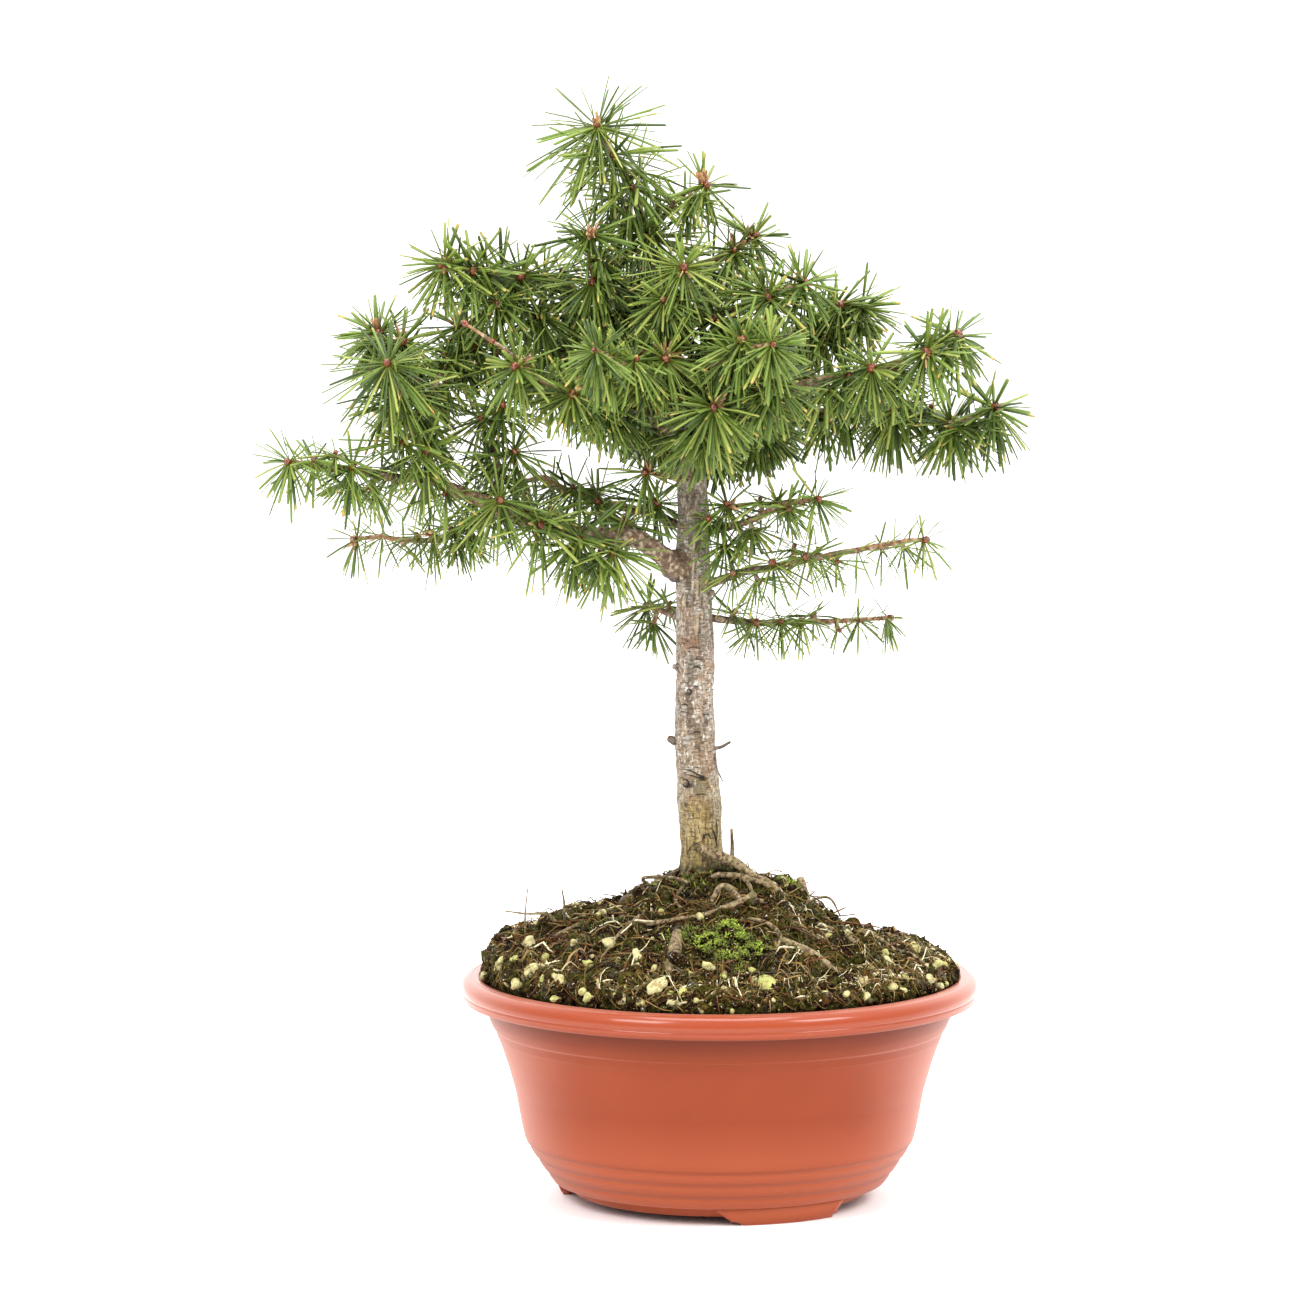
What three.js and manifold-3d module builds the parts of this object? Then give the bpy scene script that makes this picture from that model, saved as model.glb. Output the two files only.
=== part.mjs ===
// A young larch grown as a bonsai in a round moulded bowl, heaped with coarse substrate.
// Millimetres, +Z up, the front of the bowl towards -Y. The origin of the exported group is
// the centre of the object's box, on the surface that the three feet of the bowl stand on.
// Inside this file everything is laid out about the bowl's own upright axis.

import * as THREE from "three";
import { mergeVertices } from "three/addons/utils/BufferGeometryUtils.js";
import Module from "manifold-3d";

const wasm = await Module();
wasm.setup();

const GAP = 0.3; // clearance between pieces that touch
const WELD = 1e-4; // corners closer than this are one
const TINY = 1e-9; // keeps a division from nothing
const UP = new THREE.Vector3(0, 0, 1);
const FRONT = new THREE.Vector3(0, -1, 0);

// ---- The bowl ---------------------------------------------------------------------------

const ROUND_SEGMENTS = 28; // sides of the bowl and of the substrate in it
const BOWL_FLOOR = 8.2; // top of the bowl's base, inside
const BOWL_UNDERSIDE = 5;
const DRAIN_RADIUS = 8; // of the drainage hole in the middle of the base
// Outer face from the drainage hole up to the lip, as [radius, height].
const BOWL_OUTSIDE = [
  [DRAIN_RADIUS, BOWL_UNDERSIDE],
  [65.5, BOWL_UNDERSIDE],
  [66.2, 8],
  [73.5, 8],
  [77.2, 12.8],
  [76.2, 13.3],
  [81.4, 19.1],
  [80.4, 19.6],
  [85, 25],
  [84, 25.5],
  [87.6, 31.5],
  [91, 49],
  [95.8, 65.5],
  [104.9, 89.6],
  [114.3, 89.6],
  [115, 95.5],
  [113.2, 99.4],
  [107.2, 100.5],
];
// Inner face from the lip down to the drainage hole.
const BOWL_INSIDE = [
  [106.2, 99.4],
  [93.2, 66],
  [85, 38],
  [72, 12],
  [DRAIN_RADIUS, BOWL_FLOOR],
];
// A foot is two bands of a ring: a low one, and a high one that reaches further at both ends.
const FOOT = { inner: 66.5, outer: 70, top: 8.6, topOuter: 73.2, step: 3.4, overlap: 0.4, sides: 3 };
const FOOT_MIDDLES = [-62.9, 48.3, 159.5]; // degrees round from the right
const FOOT_HALF_ANGLE = 17.6;
const FOOT_NEAR_STEP = 9; // degrees
const FOOT_FAR_STEP = 3;

// ---- The substrate ----------------------------------------------------------------------

// Heights of the mound at these distances from the axis, towards each side of the bowl.
const MOUND_REACHES = [0, 10, 24, 38, 56, 71, 85, 99, 104.4];
const MOUND = {
  right: [150, 148, 141, 134.5, 121, 119, 115.5, 108, 102],
  back: [150, 148.5, 141.5, 135, 127, 121, 116, 108.5, 102],
  left: [150, 149, 142, 135.5, 129.3, 124.8, 119.5, 113.5, 103],
  front: [150, 149, 143.5, 138.5, 131.6, 125, 118, 109.5, 102],
};
const MOUND_ROUGHNESS = 1.6; // how far a corner is lifted or dropped
const ROUGH_FROM = 15; // radius inside which the mound stays even, round the trunk
const ROUGH_TO = 100;
// The granules that lie in plain sight, as [x, y, radius].
const GRANULES = [
  [-28, -95, 5.2],
  [-80, -59, 4.2],
  [-70, -72, 4],
  [-90, -44, 4],
  [20, -94, 4.4],
  [47, -82, 4.2],
  [62, -77, 4],
  [66, -70, 4.4],
  [74, -52, 3.6],
  [86, -16, 3.8],
  [-36, -77, 3.4],
  [56, -28, 3.8],
];
const SCATTERED_GRANULES = 4;
const GRANULE_RADIUS = [2.6, 4.2];
const GRANULE_FORM = [1, 0.85, 0.75]; // half sizes against the radius
const GRANULE_UNEVENNESS = 0.12;
const GRANULE_LIFT = 0.1; // of its radius, above the mound
const MOSS_ROOM = 1.25; // granules stay outside the moss's outline times this
// Roots and woody bits that lie on the substrate, as [x, y, height above it].
const LOOSE_ROOTS = [
  { route: [[14, -36, 0.6], [5, -45, 1.2], [-8, -51, 1], [-27, -51, 1], [-36, -45, -1.5]],
    radii: [1.8, 1.3] },
  { route: [[-19, -62, 0.6], [-20, -73, 1.2], [-22, -86, 0]], radii: [2.4, 3.2] },
  { route: [[25, -61, -0.6], [33, -67, 1.2], [41, -70, 1], [50, -74, -1]], radii: [1.9, 1.5] },
  { route: [[36, -8, 3.5], [38, -15, 2.5], [41, -27, -1.5]], radii: [3.3, 2.6] },
  { route: [[-30, 44, 0.4], [-8, 52, 1.4], [18, 50, 0.8], [34, 40, -1]], radii: [1.9, 1.4] },
];

// Moss cushion: its centre on the mound, how far that is sunk, half sizes and unevenness.
const MOSS = { x: 2, y: -72, sunk: 1, halfWide: 19, halfDeep: 14, halfHigh: 5.5, unevenness: 0.03 };
const MOSS_NEST_GAP = 0.9; // round the cushion, wider than GAP because its facets are uneven
const MOSS_SLOPE_REACH = 8; // before and behind its centre, where its slope is read

// ---- The trunk --------------------------------------------------------------------------

const TRUNK_SIDES = 10;
const TRUNK_STEPS = 18;
const TRUNK_ROUTE = [
  [-8, 0, 125],
  [-8, 0, 150],
  [-8, 0, 179],
  [-10, 0, 206],
  [-11, 1, 228],
  [-12, 1, 250],
  [-12, 0, 286],
  [-12, 0, 313],
  [-14, 0, 335],
  [-19, 0, 361],
  [-23, 0, 388],
  [-28, 0, 410],
];
// Radii at even steps along the trunk, from the root ball to where the leader starts.
const TRUNK_RADII = [10.6, 9.6, 9.4, 8.9, 8.2, 7.7, 7.2, 6.5, 5.2, 4, 2.9];
const TRUNK_LUMPS = 0.045;

// Surface roots that spring from the foot of the trunk, as [x, y, height above the mound].
const TRUNK_ROOTS = [
  { route: [[-8, -5, 8], [2, -11, 4.5], [10, -14, 1.8], [18, -18, 0.8], [26, -26, -0.2], [31, -35, -4]],
    radii: [3.4, 2.6, 2.3, 2] },
  { route: [[-7, -8, 0.5], [-3, -19, 1.4], [4, -22, 1.6], [11, -29, 0.2], [13, -37, -3.5]],
    radii: [2.8, 2.2, 1.8] },
  { route: [[-12, 2, 2], [-25, 6, 1.5], [-36, 2, 0.8], [-47, -6, -3.5]], radii: [2.8, 2, 1.5] },
  { route: [[-6, 4, 4], [2, 17, 1.8], [14, 27, 0.8], [22, 41, -3.5]], radii: [3.2, 2.3, 1.7] },
  { route: [[-10, 3, 3], [-18, 18, 1.4], [-32, 28, 0.5], [-44, 33, -3.5]], radii: [3, 2.2, 1.6] },
];
// Stubs, snags and bare twiglets on the trunk.
const TRUNK_STUBS = [
  { route: [[-12, 0, 203], [-19, -1, 205], [-22.5, -1, 206.5]], radii: [3, 1.6] },
  { route: [[-10, -2, 270], [-3, -3, 272]], radii: [2.4, 1.4] },
  { route: [[-6, -3, 202], [0, -5, 203], [4.5, -6, 205.5]], radii: [0.9, 0.6] },
  { route: [[-12, -2, 236], [-20.5, -3, 239]], radii: [2.2, 1.3] },
];
const KNOT = { at: [-18, -3, 283], halfSizes: [8.5, 7, 7.5], unevenness: 0.06 };
const THIN_SIDES = 5; // of roots and stubs
const ROOT_STEPS = 4;
const LOOSE_ROOT_STEPS = 3;
const STUB_STEPS = 2;
// The unevenness of a limb goes round it in waves, which turn as they run along it.
const WAVES = { coarse: 2, coarseTurn: -2.6, fine: 3, fineTurn: 1.7 };

// ---- Needles and rosettes ---------------------------------------------------------------

const BUD_RADIUS = 1.9;
const BUD_STANDOFF = 2.2; // from the skin of a twig to the heart of a bud on it
const ROOT_DEPTH = 1; // how far past the middle of the twig the root of a bud reaches
const STAR_ROOM = 9; // the least distance from a star to the other rosettes
const NEEDLE_HALF_WIDTH = 1.15; // at the root of a needle
const NEEDLE_TIP_RADIUS = 0.05;
const NEEDLE_DROOP = 0.12; // how far a needle leans towards the ground
const NEEDLE_JITTER = 0.13;
const NEEDLE_TRIES = 14;
const JITTER_GROWTH = 0.12; // how much wider each further try looks
const NEEDLE_LENGTH_SPREAD = 0.14;
const CLEAR_OF_OTHERS = 0.45; // between needles of two sprays
const CLEAR_OF_OWN = 0.15; // between needles of one spray
const OWN_TWIG_REACH = 0.3; // the inner share of a needle that may run beside its own twig
const GOLDEN_ANGLE = Math.PI * (3 - Math.sqrt(5));
const SPUR_LEAN = 0.35; // how far a rosette on the side of a twig leans towards its end
const FIRST_TURN = 0.6; // round the twig, of its first rosette
const TIP_SPIN = 0.3;
const TIP_ROOM = 0.55; // of the spacing, kept free before the tip
const TWIG_SIDES = 5;
const THICK_TWIG = 3; // a twig whose radius is more than this gets two more sides
const TWIG_STEP = 24;
const TWIG_LEAST_STEPS = 3;
const STRETCH_STEP = 6; // length of the stretches that stand for a twig
const ROUTE_SAMPLES = 80;
const SEEDS = { needles: 2024, soil: 7, moss: 5, knot: 11 };

// ---- The sprays -------------------------------------------------------------------------
// Each spray is one branch. Its route runs from the trunk, or from the spray that carries it,
// to its tip. radii are those of the twig at its two ends. Rosettes stand on it every
// spacing from first on, one on its tip, and one on a short spur at each of the stars, which
// face the front. needle is the length of its needles.

const SPRAYS = [
  { name: "leader", radii: [2.6, 1.3], needle: 27, first: 14, spacing: 23,
    route: [[-29, 0, 414], [-33, -1, 430], [-39, -3, 451], [-46, -3, 463], [-53, -4, 476]],
    stars: [[-39, -9, 452], [-33, -8, 431], [-48, -9, 468]] },
  { name: "crown_right", on: "leader", radii: [1.5, 1], needle: 22, first: 16, spacing: 17,
    route: [[-32, -2, 428], [-24, -6, 440], [-16, -10, 449], [-9, -12, 452]], stars: [] },
  { name: "crown_left", radii: [2, 1.2], needle: 23, first: 14, spacing: 23,
    route: [[-27, 3, 401], [-42, -10, 404], [-53, -18, 409], [-57, -22, 420], [-57, -24, 430]],
    stars: [[-56, -25, 412]] },
  { name: "upper_left", radii: [2.6, 1.3], needle: 23, first: 24, spacing: 24,
    route: [[-26, 4, 394], [-53, 8, 401], [-71, 2, 406], [-88, -6, 413], [-109, -12, 416], [-119, -16, 418]],
    stars: [[-109, -19, 416], [-88, -13, 413]] },
  { name: "upper_right", radii: [2, 1.2], needle: 22, first: 14, spacing: 23,
    route: [[-26, 0, 406], [-9, 8, 415], [6, 12, 422], [13, 14, 427]], stars: [[6, 5, 423]] },
  { name: "front_high", radii: [1.8, 1.3], needle: 23, first: 20, spacing: 24,
    route: [[-26, -4, 402], [-21, -22, 410], [-17, -38, 418]], stars: [] },
  { name: "right_high", radii: [2.1, 1.2], needle: 22, first: 20, spacing: 23,
    route: [[-23, -4, 386], [-9, -14, 393], [5, -24, 399], [21, -32, 406], [34, -36, 411]],
    stars: [[21, -39, 406]] },
  { name: "right_upper", radii: [2.5, 1.3], needle: 23, first: 18, spacing: 24,
    route: [[-21, 4, 372], [0, 14, 374], [22, 22, 379], [42, 24, 391], [55, 22, 398], [61, 20, 397]],
    stars: [[53, 16, 398], [46, 18, 384]] },
  { name: "right_mid", radii: [2.8, 1.3], needle: 23, first: 20, spacing: 27,
    route: [[-18, 0, 359], [9, -6, 360], [35, -14, 365], [57, -20, 370], [79, -22, 376], [91, -20, 380],
      [101, -18, 386]],
    stars: [[66, -27, 374], [90, -27, 381]] },
  { name: "right_low", radii: [3.2, 1.3], needle: 23, first: 20, spacing: 26,
    route: [[-15, 2, 341], [16, 18, 345], [36, 22, 348], [58, 22, 350], [77, 18, 350], [97, 12, 347],
      [108, 8, 347], [119, 6, 352]],
    stars: [[16, 10, 346], [77, 11, 351], [102, 4, 346]] },
  { name: "front_low", radii: [2.2, 1.4], needle: 24, first: 18, spacing: 23,
    route: [[-13, -10, 338], [-9, -34, 347], [-4, -62, 359]], stars: [] },
  { name: "front_low_right", radii: [2.2, 1.3], needle: 22, first: 18, spacing: 23,
    route: [[-14, -8, 349], [-3, -30, 358], [10, -48, 365], [22, -58, 369]], stars: [] },
  { name: "front_mid", radii: [2, 1.3], needle: 23, first: 22, spacing: 23,
    route: [[-22, -6, 378], [-23, -30, 380], [-24, -48, 380]], stars: [] },
  { name: "front_upper", radii: [1.8, 1.2], needle: 20, first: 22, spacing: 23,
    route: [[-25, -6, 389], [-25, -26, 397], [-25, -40, 404]], stars: [] },
  { name: "left_mid", radii: [2.4, 1.3], needle: 23, first: 22, spacing: 24,
    route: [[-17, -4, 351], [-33, -16, 353], [-50, -26, 359], [-65, -36, 363], [-77, -42, 369],
      [-87, -46, 375]],
    stars: [[-50, -33, 359], [-65, -43, 364]] },
  { name: "left_bare", radii: [2.2, 1.1], needle: 21, first: 22, spacing: 24,
    route: [[-22, 4, 378], [-44, 14, 377], [-66, 16, 377], [-84, 10, 373], [-92, 8, 375],
      [-106, 6, 383], [-113, 4, 388]],
    stars: [] },
  { name: "left_low", radii: [4.8, 1.6], needle: 25, first: 34, spacing: 28,
    route: [[-16, -4, 281], [-29, -12, 292], [-40, -16, 298], [-57, -20, 299], [-79, -22, 304],
      [-97, -24, 312], [-110, -24, 317], [-125, -24, 324], [-130, -26, 337], [-138, -30, 353],
      [-143, -34, 366], [-145, -40, 375]],
    stars: [[-79, -30, 305], [-47, -26, 293], [-129, -33, 338], [-97, -31, 316]] },
  { name: "left_top", on: "left_low", radii: [1.8, 1.2], needle: 21, first: 14, spacing: 21,
    route: [[-135, -22, 346], [-130, -14, 358], [-123, -8, 369], [-117, 0, 374]], stars: [] },
  { name: "left_top_back", on: "left_low", radii: [1.8, 1.2], needle: 21, first: 16, spacing: 23,
    route: [[-138, -24, 353], [-137, -12, 367], [-140, -4, 381], [-150, 2, 384]], stars: [] },
  { name: "left_outer", on: "left_low", radii: [2.2, 1.3], needle: 20, first: 16, spacing: 23,
    route: [[-128, -26, 325], [-143, -32, 326], [-161, -38, 330], [-171, -42, 331], [-186, -46, 334]],
    stars: [[-161, -44, 332]] },
  { name: "left_under", on: "left_low", radii: [1.7, 1], needle: 17, first: 12, spacing: 20,
    route: [[-97, -20, 309], [-110, -6, 302], [-120, 2, 296], [-128, 6, 294], [-142, 10, 294],
      [-150, 12, 295], [-159, 14, 294]],
    stars: [] },
  { name: "left_shoot", on: "left_low", radii: [1.7, 1.1], needle: 20, first: 12, spacing: 17,
    route: [[-98, -21, 312], [-98, -16, 321], [-99, -12, 332], [-101, -10, 341], [-99, -8, 351]],
    stars: [] },
  { name: "left_inner", radii: [2.4, 1.2], needle: 20, first: 16, spacing: 21,
    route: [[-20, 4, 301], [-31, 12, 306], [-40, 16, 307], [-53, 20, 310], [-69, 22, 315],
      [-77, 22, 320], [-84, 24, 319]],
    stars: [[-54, 13, 311]] },
  { name: "left_spur", radii: [1.4, 1], needle: 21, first: 99, spacing: 21,
    route: [[-16, -8, 322], [-24, -16, 325], [-31, -22, 327]], stars: [] },
  { name: "left_back_low", radii: [1.5, 1], needle: 18, first: 16, spacing: 16,
    route: [[-18, 6, 260], [-24, 20, 260], [-31, 34, 261]], stars: [] },
  { name: "front_spur", radii: [1.3, 1], needle: 13, first: 99, spacing: 21,
    route: [[-8, -6, 305], [-6, -14, 306]], stars: [] },
  { name: "right_first", radii: [1.8, 1.1], needle: 17, first: 10, spacing: 17,
    route: [[-6, -4, 300], [1, -10, 301], [14, -18, 306], [27, -24, 313], [40, -30, 316]], stars: [] },
  { name: "right_second", radii: [2, 1], needle: 17, first: 12, spacing: 21,
    route: [[-4, -4, 276], [11, -10, 282], [21, -14, 284], [38, -18, 288], [55, -22, 292],
      [79, -26, 297], [87, -28, 298]],
    stars: [] },
  { name: "right_third", radii: [1.8, 0.9], needle: 15, first: 10, spacing: 21,
    route: [[-5, 2, 260], [16, 8, 257], [36, 12, 257], [51, 14, 257], [72, 16, 258]], stars: [] },
  { name: "back_high", radii: [1.8, 1.2], needle: 22, first: 18, spacing: 21,
    route: [[-27, 6, 401], [-31, 30, 403], [-33, 52, 406]], stars: [] },
  { name: "back_left", radii: [2.2, 1.2], needle: 23, first: 20, spacing: 25,
    route: [[-24, 5, 389], [-35, 35, 382], [-49, 60, 375], [-63, 82, 374]], stars: [] },
  { name: "back_right", radii: [2.2, 1.2], needle: 23, first: 20, spacing: 25,
    route: [[-18, 5, 358], [-7, 32, 364], [7, 58, 366], [21, 82, 364]], stars: [] },
  { name: "back_mid", radii: [2.4, 1.3], needle: 23, first: 20, spacing: 25,
    route: [[-16, 6, 347], [-18, 40, 346], [-21, 70, 346], [-23, 95, 349]], stars: [] },
  { name: "back_low_right", radii: [2.2, 1.2], needle: 22, first: 20, spacing: 25,
    route: [[-13, 6, 334], [0, 36, 337], [12, 60, 339], [24, 80, 342]], stars: [] },
  { name: "back_low_left", radii: [2.2, 1.2], needle: 22, first: 20, spacing: 25,
    route: [[-15, 6, 338], [-27, 36, 342], [-40, 62, 347], [-54, 84, 352]], stars: [] },
  { name: "front_left", radii: [2.2, 1.2], needle: 22, first: 22, spacing: 23,
    route: [[-21, -5, 370], [-31, -34, 373], [-42, -58, 378], [-53, -76, 385]], stars: [] },
  { name: "front_right", radii: [2.2, 1.2], needle: 22, first: 22, spacing: 23,
    route: [[-17, -5, 364], [-7, -34, 373], [8, -58, 384], [20, -76, 388]], stars: [] },
];

const FINISHES = {
  bowl: { color: 0xc45c3e, roughness: 0.5, metalness: 0 },
  soil: { color: 0x4a3a26, roughness: 0.95, metalness: 0 },
  moss: { color: 0x5f8f2a, roughness: 0.95, metalness: 0 },
  bark: { color: 0xa8987c, roughness: 0.9, metalness: 0 },
  needles: { color: 0x4f7d33, roughness: 0.6, metalness: 0 },
};

// ---- Small tools ------------------------------------------------------------------------

// A repeatable stream of numbers from 0 to 1.
function seededRandom(seed) {
  let state = seed >>> 0;
  return () => {
    state = (state + 0x6d2b79f5) >>> 0;
    let mixed = Math.imul(state ^ (state >>> 15), state | 1);
    mixed ^= mixed + Math.imul(mixed ^ (mixed >>> 7), mixed | 61);
    return ((mixed ^ (mixed >>> 14)) >>> 0) / 4294967296;
  };
}

function vectors(points) {
  return points.map((point) => new THREE.Vector3(...point));
}

function curveThrough(points) {
  return new THREE.CatmullRomCurve3(points, false, "catmullrom", 0.5);
}

// The value at share u along a list of evenly spaced values.
function valueAt(values, u) {
  const place = THREE.MathUtils.clamp(u, 0, 1) * (values.length - 1);
  const low = Math.min(Math.floor(place), values.length - 2);
  return THREE.MathUtils.lerp(values[low], values[low + 1], place - low);
}

// A closed geometry as a solid, turned round if its faces point inwards.
function solidOf(geometry) {
  const bare = new THREE.BufferGeometry();
  bare.setAttribute("position", geometry.getAttribute("position"));
  bare.setIndex(geometry.index);
  const merged = mergeVertices(bare, WELD);
  const corners = [];
  for (let i = 0; i < merged.index.count; i += 3) {
    const [a, b, c] = [0, 1, 2].map((k) => merged.index.getX(i + k));
    if (a !== b && b !== c && c !== a) corners.push(a, b, c);
  }
  const build = (triVerts) =>
    new wasm.Manifold(
      new wasm.Mesh({ numProp: 3, vertProperties: merged.attributes.position.array, triVerts }),
    );
  const made = build(new Uint32Array(corners));
  return made.volume() > 0 ? made : build(new Uint32Array(corners.reverse()));
}

// The largest body of a solid, as a three.js mesh with its name and finish.
function meshOf(solid, name, finish) {
  const bodies = solid.decompose();
  bodies.sort((a, b) => b.volume() - a.volume());
  const { vertProperties, triVerts } = bodies[0].getMesh();
  const geometry = new THREE.BufferGeometry();
  geometry.setAttribute("position", new THREE.BufferAttribute(vertProperties, 3));
  geometry.setIndex(new THREE.BufferAttribute(triVerts, 1));
  geometry.computeVertexNormals();
  const mesh = new THREE.Mesh(geometry, new THREE.MeshStandardMaterial(finish));
  mesh.name = name;
  return mesh;
}

function joined(solids) {
  return solids.reduce((whole, piece) => whole.add(piece));
}

// A solid of revolution about the upright axis, from [radius, height] points.
function turned(profile, segments) {
  const outline = profile.map(([radius, height]) => new THREE.Vector2(radius, height));
  const lathe = new THREE.LatheGeometry(outline, segments);
  return solidOf(lathe.rotateX(Math.PI / 2));
}

// ---- Limbs ------------------------------------------------------------------------------

// A tapering limb: a turned shape with flat ends, bent along a curve. grow widens it all
// over, and lumps makes its skin uneven.
function limb(curve, radii, { sides = 6, steps = 4, grow = 0, lumps = 0 } = {}) {
  const outline = [new THREE.Vector2(0, 0)];
  for (let step = 0; step <= steps; step++) {
    outline.push(new THREE.Vector2(valueAt(radii, step / steps) + grow, step / steps));
  }
  outline.push(new THREE.Vector2(0, 1));
  const lathe = new THREE.LatheGeometry(outline, sides);
  const frames = curve.computeFrenetFrames(steps, false);
  const place = lathe.getAttribute("position");
  for (let i = 0; i < place.count; i++) {
    const step = Math.round(place.getY(i) * steps);
    const angle = Math.atan2(place.getX(i), place.getZ(i));
    const fine = Math.sin(WAVES.fine * angle + WAVES.fineTurn * step);
    const coarse = Math.sin(WAVES.coarse * angle + WAVES.coarseTurn * step);
    const swell = 1 + lumps * (fine + coarse);
    const at = curve.getPointAt(step / steps);
    at.addScaledVector(frames.normals[step], place.getX(i) * swell);
    at.addScaledVector(frames.binormals[step], place.getZ(i) * swell);
    at.addScaledVector(frames.tangents[step], (step === 0 ? -grow : 0) + (step === steps ? grow : 0));
    place.setXYZ(i, at.x, at.y, at.z);
  }
  return solidOf(lathe);
}

// A faceted lump: an icosahedron stretched to its half sizes, with uneven corners.
function lump(at, halfSizes, detail, unevenness, random) {
  const geometry = mergeVertices(stripped(new THREE.IcosahedronGeometry(1, detail)), WELD);
  const place = geometry.getAttribute("position");
  for (let i = 0; i < place.count; i++) {
    const swell = 1 + unevenness * (2 * random() - 1);
    place.setXYZ(
      i,
      at[0] + place.getX(i) * halfSizes[0] * swell,
      at[1] + place.getY(i) * halfSizes[1] * swell,
      at[2] + place.getZ(i) * halfSizes[2] * swell,
    );
  }
  return solidOf(geometry);
}

function stripped(geometry) {
  geometry.deleteAttribute("normal");
  geometry.deleteAttribute("uv");
  return geometry;
}

// ---- Bowl -------------------------------------------------------------------------------

// One band of a foot: a sector of a ring, its outer face leaning out towards its top.
function footBand(start, end, low, high) {
  const [from, to] = [start, end].map(THREE.MathUtils.degToRad);
  const outline = new THREE.Shape();
  outline.absarc(0, 0, FOOT.outer, from, to, false);
  outline.absarc(0, 0, FOOT.inner, to, from, true);
  outline.closePath();
  const options = { depth: high - low, bevelEnabled: false, curveSegments: FOOT.sides };
  const band = stripped(new THREE.ExtrudeGeometry(outline, options));
  band.translate(0, 0, low);
  const place = band.getAttribute("position");
  for (let i = 0; i < place.count; i++) {
    const radius = Math.hypot(place.getX(i), place.getY(i));
    const flare = (FOOT.topOuter - FOOT.outer) * (place.getZ(i) / FOOT.top);
    const wider = radius > (FOOT.inner + FOOT.outer) / 2 ? (radius + flare) / radius : 1;
    place.setXY(i, place.getX(i) * wider, place.getY(i) * wider);
  }
  return solidOf(band);
}

function makeBowl() {
  const shell = turned([...BOWL_OUTSIDE, ...BOWL_INSIDE, BOWL_OUTSIDE[0]], ROUND_SEGMENTS);
  const feet = FOOT_MIDDLES.flatMap((middle) => {
    const [start, end] = [middle - FOOT_HALF_ANGLE, middle + FOOT_HALF_ANGLE];
    return [
      footBand(start, end, 0, FOOT.step + FOOT.overlap),
      footBand(start - FOOT_NEAR_STEP, end + FOOT_FAR_STEP, FOOT.step, FOOT.top),
    ];
  });
  return joined([shell, ...feet]);
}

// ---- Substrate --------------------------------------------------------------------------

// The height at a distance from the axis along one side's profile.
function profileAt(heights, radius) {
  const outer = MOUND_REACHES.findIndex((reach) => reach >= radius);
  if (outer < 0) return heights.at(-1);
  if (outer === 0) return heights[0];
  const [near, far] = [MOUND_REACHES[outer - 1], MOUND_REACHES[outer]];
  return THREE.MathUtils.mapLinear(radius, near, far, heights[outer - 1], heights[outer]);
}

// The mound's height: right and left count for the square of the cosine of the bearing, back
// and front for that of its sine.
function moundHeight(x, y) {
  const radius = Math.hypot(x, y);
  const aside = (x / Math.max(radius, TINY)) ** 2;
  const across = profileAt(x > 0 ? MOUND.right : MOUND.left, radius);
  const ahead = profileAt(y > 0 ? MOUND.back : MOUND.front, radius);
  return across * aside + ahead * (1 - aside);
}

// Points given as [x, y, height above the mound], as vectors.
function onMound(route) {
  return route.map(([x, y, lift]) => new THREE.Vector3(x, y, moundHeight(x, y) + lift));
}

// The plug of root ball and substrate: the inside of the bowl, drawn in by the gap, and the
// mound on top, whose corners are lifted and dropped unevenly.
function makePlug(random) {
  const wall = BOWL_INSIDE.slice(1, -1).map(([radius, height]) => [radius - GAP, height + GAP]);
  wall.push([0, BOWL_FLOOR + GAP]);
  const top = MOUND_REACHES.map((reach, i) => [reach, MOUND.front[i]]);
  const outline = [...top, ...wall].map(([radius, height]) => new THREE.Vector2(radius, height));
  const lathe = stripped(new THREE.LatheGeometry(outline, ROUND_SEGMENTS));
  const geometry = mergeVertices(lathe.rotateX(Math.PI / 2), WELD);
  const place = geometry.getAttribute("position");
  for (let i = 0; i < place.count; i++) {
    const [x, y, z] = [place.getX(i), place.getY(i), place.getZ(i)];
    const radius = Math.hypot(x, y);
    const shake = radius > ROUGH_FROM && radius < ROUGH_TO ? MOUND_ROUGHNESS * (2 * random() - 1) : 0;
    if (z > MOUND.front.at(-1) - 1) place.setZ(i, moundHeight(x, y) + shake);
  }
  return solidOf(geometry);
}

function makeGranules(random) {
  const places = [...GRANULES];
  for (let i = 0; i < SCATTERED_GRANULES; i++) {
    const radius = MOUND_REACHES.at(-2) * Math.sqrt((i + 0.8) / SCATTERED_GRANULES);
    const turn = i * GOLDEN_ANGLE;
    const size = THREE.MathUtils.lerp(...GRANULE_RADIUS, random());
    places.push([radius * Math.cos(turn), radius * Math.sin(turn), size]);
  }
  return places
    .filter(([x, y]) => Math.hypot((x - MOSS.x) / MOSS.halfWide, (y - MOSS.y) / MOSS.halfDeep) > MOSS_ROOM)
    .map(([x, y, size]) => {
      const at = [x, y, moundHeight(x, y) + GRANULE_LIFT * size];
      return lump(at, GRANULE_FORM.map((share) => share * size), 0, GRANULE_UNEVENNESS, random);
    });
}

function looseRoots() {
  return LOOSE_ROOTS.map(({ route, radii }) =>
    limb(curveThrough(onMound(route)), radii, { sides: THIN_SIDES, steps: LOOSE_ROOT_STEPS }),
  );
}

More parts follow.
